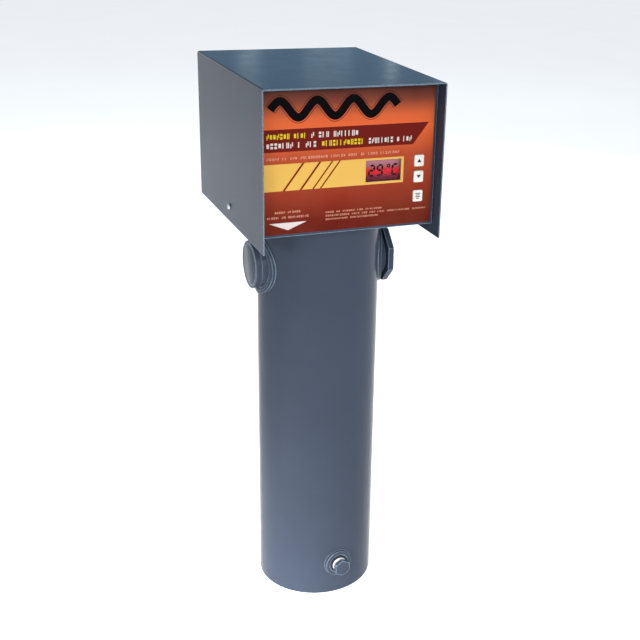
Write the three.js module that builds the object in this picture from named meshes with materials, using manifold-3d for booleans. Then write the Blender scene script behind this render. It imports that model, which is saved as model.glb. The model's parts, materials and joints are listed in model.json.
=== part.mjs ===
// Upright electric pool and spa heater. A length of pipe is the tank and stands on its own base.
// A sheet-metal control box is screwed to the top of the tank, and a bent hood drops over the box.
// Millimetres, +Z up. The origin is the centre of the tank's base, and the front faces -Y.

import * as THREE from 'three';
import { mergeVertices } from 'three/addons/utils/BufferGeometryUtils.js';
import Module from 'manifold-3d';

const wasm = await Module();
wasm.setup();

// ---------------------------------------------------------------- driving dimensions

const TOTAL_HEIGHT = 762;
const GAP = 0.3; // clearance left between neighbouring solids
const PAST = 1; // how far a cutter runs past the faces that it opens
const SUNK = 1; // how far a solid reaches into the one that it is joined to
const FINE_SIDES = 32;
const HOLE_SIDES = 14;
const SHANK_SIDES = 10;

// 6 inch nominal pipe.
const TANK = { radius: 84.15, wall: 3.4, base: 6, top: 8, sides: 64 };
const TANK_BORE = TANK.radius - TANK.wall;

// The hood is open at its front, back and bottom. Its skirts hang below the box.
const HOOD = { width: 240, depth: 304, height: 203, front: -135, sheet: 1.6, bend: 3 };
const HOOD_BACK = HOOD.front + HOOD.depth;
const HOOD_SCREW = { y: 17, z: 580, head: 4.4, headHigh: 3, shank: 2.1, nutFlats: 8, nutHigh: 3, past: 1.5 };

// The control box is one sheet bent up at the front and back, with lips along its other edges.
const BOX = { halfWidth: 117.2, front: -114.5, back: 150, floor: 574, top: 756.5, sheet: 1.5, lip: 12 };
const BOX_PLATE_TOP = BOX.floor + BOX.sheet;
const BOX_INNER_FRONT = BOX.front + BOX.sheet;
const BOX_INNER_BACK = BOX.back - BOX.sheet;
const SIDE_LIP_HEIGHT = 18;

// The label's outer face is the front plane of the control panel.
const LABEL = { halfWidth: 113.5, bottom: 577.5, top: 755.5, face: -115, thick: 0.4 };
const DISPLAY = { left: 21, right: 69.5, bottom: 636.5, top: 664.5 };
const KEY = { x: 94.6, width: 13.4, height: 15, corner: 1.8, proud: 0.9, skirt: 1.6, clearance: 0.4 };
const KEY_HEIGHTS = { up_key: 660.2, down_key: 639.4, mode_key: 613.6 };

// Two side ports of 1 1/2 inch pipe thread, opposite each other.
const PORT = { z: 501, saddle: 41, proud: 4.7, stub: 32, bore: 21, inner: 72, sides: 36 };
const INLET = { stubEnd: 90.2, capFace: 99, capRadius: 32.8, rimRound: 2, spigot: 9 };
const OUTLET = { stubEnd: 89.3, sealEnd: 90.7, plugFace: 99, plugFlats: 76, plugSides: 8, spigot: 13 };

// Drain: a half coupling let into the wall and a 1/2 inch plug with a hexagonal head.
const DRAIN = { angle: -86, z: 50, boss: 20, proud: 3.5, bore: 10.9, mouth: 1.6, shank: 10.5, inner: 76 };
const DRAIN_SEAL = { outer: 13.5, thick: 1.8 };
const DRAIN_PLUG = { flats: 22, headStart: 94.5, headEnd: 101.5 };

// Heating elements: two hairpins hang from a bolted flange through a hole in the tank's top.
const FLANGE = { radius: 52, thick: 10, hole: 34, boltCircle: 42 };
const FLANGE_BOLT = { shank: 3.9, flats: 13, head: 5.3 };
const GASKET_THICK = 2;
const ELEMENT = { x: 18, y: 16, radius: 4.2, bottom: 150, sheathTop: 592, pin: 2.2, pinTop: 604 };
const STRAP = { bottom: 596, thick: 1.5, width: 12, overhang: 8 };
const BAFFLE = { thick: 2, halfWidth: 80, bottom: 80 };

// Fittings in the tank's top plate, outside the flange.
const WELL = { x: -49, y: 49, head: 8, headHigh: 10, shank: 4.7, bore: 3, bottom: 450, floor: 5 };
const PRESSURE_TAP = { x: 49, y: 49, radius: 3 };
const CHASSIS_SCREW = { circle: 72, angles: [90, 210, 330], shank: 2.9, flats: 9.35, headHigh: 4 };
const FLANGE_ROOM = 56;

// Electrical parts on the floor of the box.
const RESET = { x: -82, y: -95, radius: 4, tip: 571.5, inside: 587, travel: 2 };
const LIMIT_BODY = { halfWidth: 17, halfDepth: 12, top: 600, neck: 7, neckHigh: 6 };
const CONTACTOR = { x: 78, y: 116, halfWidth: 30, halfDepth: 26, top: 636, rib: 1.5, ribHigh: 6 };
const ARMATURE = { halfWidth: 21, halfDepth: 16, proud: 4, travel: 3, pocket: 14, step: 4, room: 0.6 };
const TRANSFORMER = { x: -78, y: 116, halfWidth: 27, halfDepth: 20, top: 624, coil: 8, foot: 7, footHigh: 2 };
const TERMINALS = { halfWidth: 32, y: 118, halfDepth: 14, top: 602, poles: 3, fin: 1.5, finHigh: 8 };
const GLAND = { z: 626, thread: 12, bore: 8.5, flats: 30, nut: 7, end: 166, locknut: 5 };
const PRESSURE_SWITCH = { x: 88, y: -30, radius: 16, base: 12, step: 4, top: 606, tubeZ: 592 };
const KNOB = { radius: 9, top: 618, grip: 1.5, gripHigh: 3 };
const GROUND_LUG = { x: 40, y: 96, half: 5, top: 588, wire: 2.4, wireHigh: 5, screw: 3 };
const BOARD = { left: 10, right: 109, bottom: 597, top: 680, front: -104, thick: 1.6 };
const LEAD_RADIUS = 2;

// ---------------------------------------------------------------- finishes

const PAINT = { color: 0x5a6371, roughness: 0.32, metalness: 0.15 };
const ZINC = { color: 0xc4c6c8, roughness: 0.28, metalness: 0.95 };
const STEEL = { color: 0x9a9c9e, roughness: 0.4, metalness: 0.9 };
const BRASS = { color: 0xb5935a, roughness: 0.35, metalness: 0.9 };
const RUBBER = { color: 0x1d1e20, roughness: 0.8, metalness: 0 };
const BLACK_PLASTIC = { color: 0x26272a, roughness: 0.5, metalness: 0 };
const CREAM_PLASTIC = { color: 0xece4cc, roughness: 0.45, metalness: 0 };
const RED_PLASTIC = { color: 0xa82018, roughness: 0.4, metalness: 0 };
const LABEL_FILM = { color: 0x9a3a20, roughness: 0.4, metalness: 0 };
const CLEAR = { color: 0xd8d0d0, roughness: 0.08, metalness: 0 };
const DISPLAY_FILM = { color: 0x7c1a22, roughness: 0.3, metalness: 0 };
const BOARD_GREEN = { color: 0x1e5a34, roughness: 0.5, metalness: 0 };
const GASKET_FIBRE = { color: 0x3c3f42, roughness: 0.9, metalness: 0 };
const LEAD_BLACK = { color: 0x18181a, roughness: 0.6, metalness: 0 };
const LEAD_RED = { color: 0x8a1a16, roughness: 0.6, metalness: 0 };
const LEAD_GREY = { color: 0x8c8e90, roughness: 0.6, metalness: 0 };
const COPPER = { color: 0xb06a44, roughness: 0.35, metalness: 0.9 };

// ---------------------------------------------------------------- solids

function solidOf(geometry) {
  const bare = geometry.clone();
  bare.deleteAttribute('normal');
  bare.deleteAttribute('uv');
  const merged = mergeVertices(bare, 1e-4);
  return new wasm.Manifold(new wasm.Mesh({
    numProp: 3,
    vertProperties: Float32Array.from(merged.attributes.position.array),
    triVerts: Uint32Array.from(merged.index.array),
  }));
}

function geometryOf(solid) {
  const mesh = solid.getMesh();
  const geometry = new THREE.BufferGeometry();
  geometry.setAttribute('position', new THREE.BufferAttribute(mesh.vertProperties, 3));
  geometry.setIndex(new THREE.BufferAttribute(mesh.triVerts, 1));
  return geometry;
}

function join(first, ...others) {
  return geometryOf(others.reduce((sum, other) => sum.add(solidOf(other)), solidOf(first)));
}

function cut(body, ...tools) {
  return geometryOf(tools.reduce((rest, tool) => rest.subtract(solidOf(tool)), solidOf(body)));
}

function common(first, second) {
  return geometryOf(solidOf(first).intersect(solidOf(second)));
}

// A box from its two corners.
function block([x0, y0, z0], [x1, y1, z1]) {
  const box = new THREE.BoxGeometry(x1 - x0, y1 - y0, z1 - z0);
  return box.translate((x0 + x1) / 2, (y0 + y1) / 2, (z0 + z1) / 2);
}

// A box standing on z0, centred on x and y.
function blockAt(x, y, halfWidth, halfDepth, z0, z1) {
  return block([x - halfWidth, y - halfDepth, z0], [x + halfWidth, y + halfDepth, z1]);
}

// A round bar along Z from z0 to z1.
function rod(radius, z0, z1, sides = 24) {
  const bar = new THREE.CylinderGeometry(radius, radius, z1 - z0, sides);
  return bar.rotateX(Math.PI / 2).translate(0, 0, (z0 + z1) / 2);
}

// A bar along Z with flat sides. One of its corners is turned from +X by the given angle.
function flatSided(sides, acrossFlats, z0, z1, turnDeg = 0) {
  const firstCorner = -90;
  const bar = rod(acrossFlats / 2 / Math.cos(Math.PI / sides), z0, z1, sides);
  return bar.rotateZ(THREE.MathUtils.degToRad(turnDeg - firstCorner));
}

function hexBar(acrossFlats, z0, z1, turnDeg = 0) {
  return flatSided(6, acrossFlats, z0, z1, turnDeg);
}

// A solid of revolution about Z. The profile lists [radius, z] up the outside and round to its start.
function turned(profile, sides) {
  const points = profile.map(([radius, z]) => new THREE.Vector2(radius, z));
  return new THREE.LatheGeometry(points, sides).rotateX(Math.PI / 2);
}

function ring(outer, inner, z0, z1, sides = 24) {
  return turned([[inner, z0], [outer, z0], [outer, z1], [inner, z1], [inner, z0]], sides);
}

// The outline (x, z) pushed through from the front plane to the back plane.
function extrudeAlongY(outline, front, back, curveSegments = 6) {
  const options = { depth: back - front, bevelEnabled: false, curveSegments };
  return new THREE.ExtrudeGeometry(outline, options).rotateX(Math.PI / 2).translate(0, back, 0);
}

function roundedOutline(left, right, bottom, top, corner) {
  const outline = new THREE.Shape();
  outline.moveTo(left + corner, bottom);
  outline.lineTo(right - corner, bottom);
  outline.absarc(right - corner, bottom + corner, corner, -Math.PI / 2, 0);
  outline.lineTo(right, top - corner);
  outline.absarc(right - corner, top - corner, corner, 0, Math.PI / 2);
  outline.lineTo(left + corner, top);
  outline.absarc(left + corner, top - corner, corner, Math.PI / 2, Math.PI);
  outline.lineTo(left, bottom + corner);
  outline.absarc(left + corner, bottom + corner, corner, Math.PI, 1.5 * Math.PI);
  return outline;
}

// A path that a swept tube follows with one ring of points at each station and none between.
class StationPath extends THREE.Curve {
  constructor(stations) {
    super();
    this.stations = stations;
  }

  indexAt(u) {
    return Math.round(u * (this.stations.length - 1));
  }

  getPointAt(u, target = new THREE.Vector3()) {
    return target.copy(this.stations[this.indexAt(u)]);
  }

  getTangentAt(u, target = new THREE.Vector3()) {
    const index = this.indexAt(u);
    const before = this.stations[Math.max(index - 1, 0)];
    const after = this.stations[Math.min(index + 1, this.stations.length - 1)];
    return target.subVectors(after, before).normalize();
  }
}

function sweptTube(stations, radius, sides) {
  const section = new THREE.Shape().absarc(0, 0, radius, 0, 2 * Math.PI);
  return new THREE.ExtrudeGeometry(section, {
    steps: stations.length - 1,
    extrudePath: new StationPath(stations),
    bevelEnabled: false,
    curveSegments: sides / 2,
  });
}

// A lead or small tube that runs smoothly through its route.
function leadGeometry(route, radius = LEAD_RADIUS) {
  const curve = new THREE.CatmullRomCurve3(route.map((point) => new THREE.Vector3(...point)));
  const stationGap = 13;
  const steps = Math.ceil(curve.getLength() / stationGap);
  return sweptTube(curve.getSpacedPoints(steps), radius, 8);
}

function piece(name, geometry, finish) {
  const mesh = new THREE.Mesh(geometry, new THREE.MeshStandardMaterial(finish));
  mesh.name = name;
  return mesh;
}

function at(object, x, y, z) {
  object.position.set(x, y, z);
  return object;
}

// A frame on the tank's side: its +Z points out of the tank, and the tank's own axis lies along its X.
function sideFrame(angleDeg, height) {
  const outward = new THREE.Group();
  outward.rotation.y = Math.PI / 2;
  const turn = new THREE.Group();
  turn.rotation.z = THREE.MathUtils.degToRad(angleDeg);
  turn.position.z = height;
  turn.add(outward);
  return { turn, outward };
}

// ---------------------------------------------------------------- tank

function tankTube() {
  const topEdge = BOX.floor - GAP;
  const tube = ring(TANK.radius, TANK_BORE, 0, topEdge, TANK.sides);
  const reach = TANK.radius + PAST;
  const portHoles = rod(PORT.stub + GAP, -reach, reach, PORT.sides).rotateY(Math.PI / 2);
  const drainHole = rod(DRAIN.boss + GAP, TANK_BORE / 2, reach).rotateY(Math.PI / 2);
  drainHole.rotateZ(THREE.MathUtils.degToRad(DRAIN.angle));
  const opened = cut(tube, portHoles.translate(0, 0, PORT.z), drainHole.translate(0, 0, DRAIN.z));
  return piece('tank_tube', opened, PAINT);
}

function tankBasePlate() {
  return piece('tank_base_plate', rod(TANK_BORE - GAP, 0, TANK.base, TANK.sides), PAINT);
}

const TOP_PLATE_TOP = BOX.floor - GAP;
const TOP_PLATE_BOTTOM = TOP_PLATE_TOP - TANK.top;

function aroundCircle(radius, anglesDeg, make) {
  return anglesDeg.map((angle) => {
    const turn = THREE.MathUtils.degToRad(angle);
    return make(radius * Math.cos(turn), radius * Math.sin(turn));
  });
}

const FLANGE_BOLT_ANGLES = [45, 135, 225, 315];

function tankTopPlate() {
  const z0 = TOP_PLATE_BOTTOM - PAST;
  const z1 = TOP_PLATE_TOP + PAST;
  const hole = (radius) => (x, y) => rod(radius, z0, z1, SHANK_SIDES).translate(x, y, 0);
  const plate = cut(
    rod(TANK_BORE - GAP, TOP_PLATE_BOTTOM, TOP_PLATE_TOP, TANK.sides),
    rod(FLANGE.hole, z0, z1),
    ...aroundCircle(FLANGE.boltCircle, FLANGE_BOLT_ANGLES, hole(FLANGE_BOLT.shank + GAP)),
    ...aroundCircle(CHASSIS_SCREW.circle, CHASSIS_SCREW.angles, hole(CHASSIS_SCREW.shank + GAP)),
    hole(WELL.shank + GAP)(WELL.x, WELL.y),
    hole(WELL.shank + GAP)(WELL.x, -WELL.y),
    hole(PRESSURE_TAP.radius + GAP)(PRESSURE_TAP.x, PRESSURE_TAP.y),
  );
  return piece('tank_top_plate', plate, STEEL);
}

function flowBaffle() {
  const plate = block([-BAFFLE.thick / 2, -BAFFLE.halfWidth, BAFFLE.bottom],
    [BAFFLE.thick / 2, BAFFLE.halfWidth, TOP_PLATE_BOTTOM - GAP]);
  return piece('flow_baffle', plate, STEEL);
}

// ---------------------------------------------------------------- side ports

// The saddle is a round pad rolled to the tank's curve, with a hole for the stub.
function saddlePad() {
  const reach = PORT.saddle + PAST;
  const outside = TANK.radius + PORT.proud + PAST;
  const along = (radius) => rod(radius, -reach, reach, TANK.sides).rotateY(Math.PI / 2);
  const shell = cut(along(TANK.radius + PORT.proud), along(TANK.radius + GAP));
  const pad = common(shell, rod(PORT.saddle, 0, outside, PORT.sides));
  return cut(pad, rod(PORT.stub + GAP, 0, outside, PORT.sides));
}

function portStub(end) {
  return ring(PORT.stub, PORT.bore, PORT.inner, end, PORT.sides);
}

function inletPort() {
  const { turn, outward } = sideFrame(180, PORT.z);
  const { capFace, capRadius, rimRound } = INLET;
  const capBack = INLET.stubEnd + GAP;
  const spigotRadius = PORT.bore - GAP;
  const cap = turned([
    [0, capBack - INLET.spigot],
    [spigotRadius, capBack - INLET.spigot],
    [spigotRadius, capBack],
    [capRadius - rimRound / 2, capBack],
    [capRadius, capBack + rimRound / 2],
    [capRadius, capFace - rimRound],
    [capRadius - rimRound * 0.3, capFace - rimRound * 0.3],
    [capRadius - rimRound, capFace],
    [0, capFace],
  ], PORT.sides);
  outward.add(
    piece('inlet_saddle', saddlePad(), PAINT),
    piece('inlet_stub', portStub(INLET.stubEnd), PAINT),
    piece('inlet_cap', cap, PAINT),
  );
  return turn;
}

function outletPort() {
  const { turn, outward } = sideFrame(0, PORT.z);
  const plugBack = OUTLET.sealEnd + GAP;
  const flatUp = 180 / OUTLET.plugSides;
  const plug = join(
    flatSided(OUTLET.plugSides, OUTLET.plugFlats, plugBack, OUTLET.plugFace, flatUp),
    rod(PORT.bore - GAP, plugBack - OUTLET.spigot, plugBack + SUNK, PORT.sides),
  );
  const seal = ring(PORT.stub - 2 * GAP, PORT.bore, OUTLET.stubEnd + GAP, OUTLET.sealEnd, PORT.sides);
  outward.add(
    piece('outlet_saddle', saddlePad(), PAINT),
    piece('outlet_stub', portStub(OUTLET.stubEnd), PAINT),
    piece('outlet_seal', seal, RUBBER),
    piece('outlet_plug', plug, PAINT),
  );
  return turn;
}

// ---------------------------------------------------------------- drain

function drainFitting() {
  const { turn, outward } = sideFrame(DRAIN.angle, DRAIN.z);
  const face = TANK.radius + DRAIN.proud;
  const chamfer = 1;
  const boss = turned([
    [DRAIN.bore, DRAIN.inner],
    [DRAIN.boss, DRAIN.inner],
    [DRAIN.boss, face - chamfer],
    [DRAIN.boss - chamfer, face],
    [DRAIN.bore + DRAIN.mouth, face],
    [DRAIN.bore, face - DRAIN.mouth],
    [DRAIN.bore, DRAIN.inner],
  ], 24);
  const sealBack = face + GAP;
  const seal = ring(DRAIN_SEAL.outer, DRAIN.bore, sealBack, sealBack + DRAIN_SEAL.thick, 24);
  const plug = join(
    rod(DRAIN.shank, DRAIN.inner, DRAIN_PLUG.headStart + SUNK, 24),
    hexBar(DRAIN_PLUG.flats, DRAIN_PLUG.headStart, DRAIN_PLUG.headEnd),
  );
  outward.add(
    piece('drain_boss', boss, PAINT),
    piece('drain_seal', seal, RUBBER),
    piece('drain_plug', plug, ZINC),
  );
  return turn;
}

// ---------------------------------------------------------------- heating elements

const FLANGE_BOTTOM = TOP_PLATE_TOP + GAP + GASKET_THICK + GAP;
const FLANGE_TOP = FLANGE_BOTTOM + FLANGE.thick;
const LEG_SIGNS = [[-1, -1], [-1, 1], [1, -1], [1, 1]];

function boltHoles(z0, z1) {
  return aroundCircle(FLANGE.boltCircle, FLANGE_BOLT_ANGLES,
    (x, y) => rod(FLANGE_BOLT.shank + GAP, z0 - PAST, z1 + PAST, SHANK_SIDES).translate(x, y, 0));
}

function elementGasket() {
  const z0 = TOP_PLATE_TOP + GAP;
  const z1 = z0 + GASKET_THICK;
  const gasket = cut(ring(FLANGE.radius, FLANGE.hole, z0, z1, FINE_SIDES), ...boltHoles(z0, z1));
  return piece('element_gasket', gasket, GASKET_FIBRE);
}

function elementFlange() {
  const legHoles = LEG_SIGNS.map(([sx, sy]) =>
    rod(ELEMENT.radius + GAP, FLANGE_BOTTOM - PAST, FLANGE_TOP + PAST, SHANK_SIDES)
      .translate(sx * ELEMENT.x, sy * ELEMENT.y, 0));
  const disc = rod(FLANGE.radius, FLANGE_BOTTOM, FLANGE_TOP, FINE_SIDES);
  const flange = cut(disc, ...legHoles, ...boltHoles(FLANGE_BOTTOM, FLANGE_TOP));
  return piece('element_flange', flange, BRASS);
}

function flangeBolts() {
  const under = FLANGE_TOP + GAP;
  const turnBetween = 15;
  return aroundCircle(FLANGE.boltCircle, FLANGE_BOLT_ANGLES, (x, y) => [x, y]).map(([x, y], index) => {
    const bolt = join(
      hexBar(FLANGE_BOLT.flats, under, under + FLANGE_BOLT.head, turnBetween * index),
      rod(FLANGE_BOLT.shank, TOP_PLATE_BOTTOM, under + SUNK, SHANK_SIDES),
    );
    return at(piece(`flange_bolt_${index + 1}`, bolt, ZINC), x, y, 0);
  });
}

// A hairpin: two legs down from the flange, joined by a half-circle bend, with a pin on each leg.
function hairpin(name, x) {
  const bendSteps = 10;
  const bendCentre = ELEMENT.bottom + ELEMENT.y;
  const stations = [new THREE.Vector3(x, -ELEMENT.y, ELEMENT.sheathTop)];
  for (let step = 0; step <= bendSteps; step += 1) {
    const turn = Math.PI * (1 + step / bendSteps);
    stations.push(new THREE.Vector3(x, ELEMENT.y * Math.cos(turn), bendCentre + ELEMENT.y * Math.sin(turn)));
  }
  stations.push(new THREE.Vector3(x, ELEMENT.y, ELEMENT.sheathTop));
  const pins = [-ELEMENT.y, ELEMENT.y].map((y) =>
    rod(ELEMENT.pin, ELEMENT.sheathTop - SUNK, ELEMENT.pinTop, SHANK_SIDES).translate(x, y, 0));
  return piece(name, join(sweptTube(stations, ELEMENT.radius, SHANK_SIDES), ...pins), STEEL);
}

// A copper strap across the two pins in one row.
function elementStrap(name, y) {
  const top = STRAP.bottom + STRAP.thick;
  const pinHoles = [-ELEMENT.x, ELEMENT.x].map((x) =>
    rod(ELEMENT.pin + GAP, STRAP.bottom - PAST, top + PAST, SHANK_SIDES).translate(x, y, 0));
  const bar = blockAt(0, y, ELEMENT.x + STRAP.overhang, STRAP.width / 2, STRAP.bottom, top);
  return piece(name, cut(bar, ...pinHoles), COPPER);
}

// ---------------------------------------------------------------- fittings in the tank's top

// A closed-bottom tube with a round head, open at the top for its sensor.
function well(name, y, finish) {
  const under = TOP_PLATE_TOP + GAP;
  const geometry = turned([
    [0, WELL.bottom],
    [WELL.shank, WELL.bottom],
    [WELL.shank, under],
    [WELL.head, under],
    [WELL.head, under + WELL.headHigh],
    [WELL.bore, under + WELL.headHigh],
    [WELL.bore, WELL.bottom + WELL.floor],
    [0, WELL.bottom + WELL.floor],
  ], HOLE_SIDES);
  return at(piece(name, geometry, finish), WELL.x, y, 0);
}

const WELL_MOUTH = TOP_PLATE_TOP + GAP + WELL.headHigh + 2 * GAP;

function chassisScrews() {
  const under = BOX_PLATE_TOP + GAP;
  return aroundCircle(CHASSIS_SCREW.circle, CHASSIS_SCREW.angles, (x, y) => [x, y]).map(([x, y], index) => {
    const screw = join(
      hexBar(CHASSIS_SCREW.flats, under, under + CHASSIS_SCREW.headHigh),
      rod(CHASSIS_SCREW.shank, TOP_PLATE_BOTTOM + SUNK, under + SUNK, SHANK_SIDES),
    );
    return at(piece(`chassis_screw_${index + 1}`, screw, ZINC), x, y, 0);
  });
}

// ---------------------------------------------------------------- control box

function keyOutline(z, grow) {
  const halfWidth = KEY.width / 2 + grow;
  const halfHeight = KEY.height / 2 + grow;
  const corner = KEY.corner + grow;
  return roundedOutline(KEY.x - halfWidth, KEY.x + halfWidth, z - halfHeight, z + halfHeight, corner);
}

// Cutters for the display window and the three keys, long enough to pass through the front sheet.
function panelCutters(front, back) {
  const keys = Object.values(KEY_HEIGHTS).map((z) =>
    extrudeAlongY(keyOutline(z, KEY.clearance), front, back, 3));
  const window = block([DISPLAY.left, front, DISPLAY.bottom], [DISPLAY.right, back, DISPLAY.top]);
  return [window, ...keys];
}

// Four studs on the back of the front sheet carry the display board.
const STUD = { radius: 3, inset: 5 };

function boardStuds() {
  const xs = [BOARD.left + STUD.inset, BOARD.right - STUD.inset];
  const zs = [BOARD.bottom + STUD.inset, BOARD.top - STUD.inset];
  return xs.flatMap((x) => zs.map((z) =>
    rod(STUD.radius, BOX_INNER_FRONT - SUNK, BOARD.front - GAP, SHANK_SIDES)
      .rotateX(-Math.PI / 2)
      .translate(x, 0, z)));
}

function boxSheets() {
  const { halfWidth, front, back, floor, top, sheet, lip } = BOX;
  const inner = halfWidth - sheet;
  const bottom = block([-halfWidth, front, floor], [halfWidth, back, floor + sheet]);
  const frontPanel = block([-halfWidth, front, floor], [halfWidth, front + sheet, top]);
  const rearPanel = block([-halfWidth, back - sheet, floor], [halfWidth, back, top]);
  const topLips = [
    block([-halfWidth, front, top - sheet], [halfWidth, front + lip, top]),
    block([-halfWidth, back - lip, top - sheet], [halfWidth, back, top]),
  ];
  const sideLips = [[-halfWidth, -inner], [inner, halfWidth]].flatMap(([x0, x1]) => [
    block([x0, front, floor], [x1, front + lip, top]),
    block([x0, back - lip, floor], [x1, back, top]),
    block([x0, front, floor], [x1, back, floor + SIDE_LIP_HEIGHT]),
  ]);
  return join(bottom, frontPanel, rearPanel, ...topLips, ...sideLips);
}

// The hood's screws drop into slots that are open at the top of the side lips.
function hoodScrewSlots() {
  const half = HOOD_SCREW.shank + 2 * GAP;
  const slot = (x0, x1) => block([x0, HOOD_SCREW.y - half, HOOD_SCREW.z - half],
    [x1, HOOD_SCREW.y + half, BOX.floor + SIDE_LIP_HEIGHT + PAST]);
  const reach = BOX.halfWidth + PAST;
  const inside = BOX.halfWidth - BOX.sheet - PAST;
  return [slot(-reach, -inside), slot(inside, reach)];
}

function controlChassis() {
  const z0 = BOX.floor - PAST;
  const z1 = BOX_PLATE_TOP + PAST;
  const hole = (radius, sides = HOLE_SIDES) => (x, y) => rod(radius, z0, z1, sides).translate(x, y, 0);
  const glandHole = rod(GLAND.thread + GAP, -BOX.back - PAST, PAST - BOX_INNER_BACK).rotateX(Math.PI / 2);
  const chassis = cut(
    join(boxSheets(), ...boardStuds()),
    ...panelCutters(BOX.front - PAST, BOX_INNER_FRONT + PAST),
    ...hoodScrewSlots(),
    hole(FLANGE_ROOM, FINE_SIDES)(0, 0),
    ...aroundCircle(CHASSIS_SCREW.circle, CHASSIS_SCREW.angles, hole(CHASSIS_SCREW.shank + GAP, SHANK_SIDES)),
    hole(WELL.head + 3 * GAP)(WELL.x, WELL.y),
    hole(WELL.head + 3 * GAP)(WELL.x, -WELL.y),
    hole(PRESSURE_TAP.radius + 3 * GAP)(PRESSURE_TAP.x, PRESSURE_TAP.y),
    hole(RESET.radius + 2 * GAP)(RESET.x, RESET.y),
    glandHole.translate(0, 0, GLAND.z),
  );
  return piece('control_chassis', chassis, PAINT);
}

function frontLabel() {
  const sheet = block([-LABEL.halfWidth, LABEL.face, LABEL.bottom],
    [LABEL.halfWidth, LABEL.face + LABEL.thick, LABEL.top]);
  return piece('front_label', cut(sheet, ...panelCutters(LABEL.face - PAST, LABEL.face + PAST)), LABEL_FILM);
}

// ---------------------------------------------------------------- display and keys

const WINDOW = { front: BOX_INNER_FRONT + GAP, back: BOX_INNER_FRONT + GAP + 1.5, margin: 3 };
const PANEL = { front: WINDOW.back + 2, back: BOARD.front - GAP, margin: 2 };

// A plate behind the display opening that is larger than the opening by its margin.
function displayPlate({ front, back, margin }) {
  return block([DISPLAY.left - margin, front, DISPLAY.bottom - margin],
    [DISPLAY.right + margin, back, DISPLAY.top + margin]);
}

const KEY_FLANGE_BACK = BOX_INNER_FRONT + GAP + 1;
const KEY_STEM = { radius: 2, length: 2.4 };
const KEY_SWITCH = { half: 3.2, gapAtRest: 1.2 };
const CHIP = { left: 30, right: 50, bottom: 605, top: 625, high: 3 };
const RELAY = { left: 62, right: 82, bottom: 640, top: 668, high: 14 };

function displayBoard() {
  const { left, right, bottom, top, front, thick } = BOARD;
  const board = block([left, front, bottom], [right, front + thick, top]);
  const switchFront = KEY_FLANGE_BACK + KEY_STEM.length + KEY_SWITCH.gapAtRest;
  const switches = Object.values(KEY_HEIGHTS).map((z) => block(
    [KEY.x - KEY_SWITCH.half, switchFront, z - KEY_SWITCH.half],
    [KEY.x + KEY_SWITCH.half, front + SUNK, z + KEY_SWITCH.half],
  ));
  const behind = [CHIP, RELAY].map((part) => block([part.left, front, part.bottom],
    [part.right, front + thick + part.high, part.top]));
  return piece('display_board', join(board, ...behind, ...switches), BOARD_GREEN);
}

// A key stands through the label and the sheet, is held by a flange behind, and ends in a stem.
function keyCap(name, z) {
  const flangeFront = BOX_INNER_FRONT + GAP;
  const flangeMiddle = (flangeFront + KEY_FLANGE_BACK) / 2;
  const flange = extrudeAlongY(keyOutline(z, KEY.skirt), flangeFront, KEY_FLANGE_BACK, 3);
  const cap = extrudeAlongY(keyOutline(z, 0), LABEL.face - KEY.proud, flangeMiddle, 3);
  const stem = rod(KEY_STEM.radius, flangeMiddle, KEY_FLANGE_BACK + KEY_STEM.length, 8)
    .rotateX(-Math.PI / 2)
    .translate(KEY.x, 0, z);
  return piece(name, join(cap, flange, stem), CREAM_PLASTIC);
}

// ---------------------------------------------------------------- electrical parts

function highLimit() {
  const z0 = BOX_PLATE_TOP + GAP;
  const body = join(
    blockAt(RESET.x, RESET.y, LIMIT_BODY.halfWidth, LIMIT_BODY.halfDepth, z0, LIMIT_BODY.top),
    rod(LIMIT_BODY.neck, LIMIT_BODY.top - SUNK, LIMIT_BODY.top + LIMIT_BODY.neckHigh, HOLE_SIDES)
      .translate(RESET.x, RESET.y, 0),
  );
  const boreTop = RESET.inside + RESET.travel + 2 * GAP;
  const bore = rod(RESET.radius + 2 * GAP, z0 - PAST, boreTop, HOLE_SIDES);
  return piece('high_limit_body', cut(body, bore.translate(RESET.x, RESET.y, 0)), BLACK_PLASTIC);
}

function resetButton() {
  const chamfer = 1;
  const button = turned([
    [0, RESET.tip],
    [RESET.radius - chamfer, RESET.tip],
    [RESET.radius, RESET.tip + chamfer],
    [RESET.radius, RESET.inside],
    [0, RESET.inside],
  ], HOLE_SIDES);
  return at(piece('reset_button', button, RED_PLASTIC), RESET.x, RESET.y, 0);
}

function contactor() {
  const { x, y, halfWidth, halfDepth, top, rib, ribHigh } = CONTACTOR;
  const ribs = [rib - halfWidth, halfWidth - rib].map((offset) =>
    blockAt(x + offset, y, rib, halfDepth, top - SUNK, top + ribHigh));
  const body = join(blockAt(x, y, halfWidth, halfDepth, BOX_PLATE_TOP + GAP, top), ...ribs);
  const pocket = blockAt(x, y, ARMATURE.halfWidth + ARMATURE.room, ARMATURE.halfDepth + ARMATURE.room,
    top - ARMATURE.pocket, top + PAST);
  return piece('contactor_body', cut(body, pocket), BLACK_PLASTIC);
}

function contactorArmature() {
  const { x, y, top } = CONTACTOR;
  const { halfWidth, halfDepth, proud, travel, step, room } = ARMATURE;
  const carrier = join(
    blockAt(x, y, halfWidth, halfDepth, top - ARMATURE.pocket + travel + room, top),
    blockAt(x, y, halfWidth / 2, halfDepth - step, top - SUNK, top + proud),
  );
  return piece('contactor_armature', carrier, CREAM_PLASTIC);
}

function transformer() {
  const { x, y, halfWidth, halfDepth, top, coil, foot, footHigh } = TRANSFORMER;
  const z0 = BOX_PLATE_TOP + GAP;
  const core = blockAt(x, y, halfWidth, halfDepth - coil, z0, top);
  const bobbin = blockAt(x, y, halfWidth - coil, halfDepth, z0 + coil, top - coil);
  const feet = blockAt(x, y, halfWidth + foot, coil, z0, z0 + footHigh);
  return piece('transformer', join(core, bobbin, feet), STEEL);
}

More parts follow.
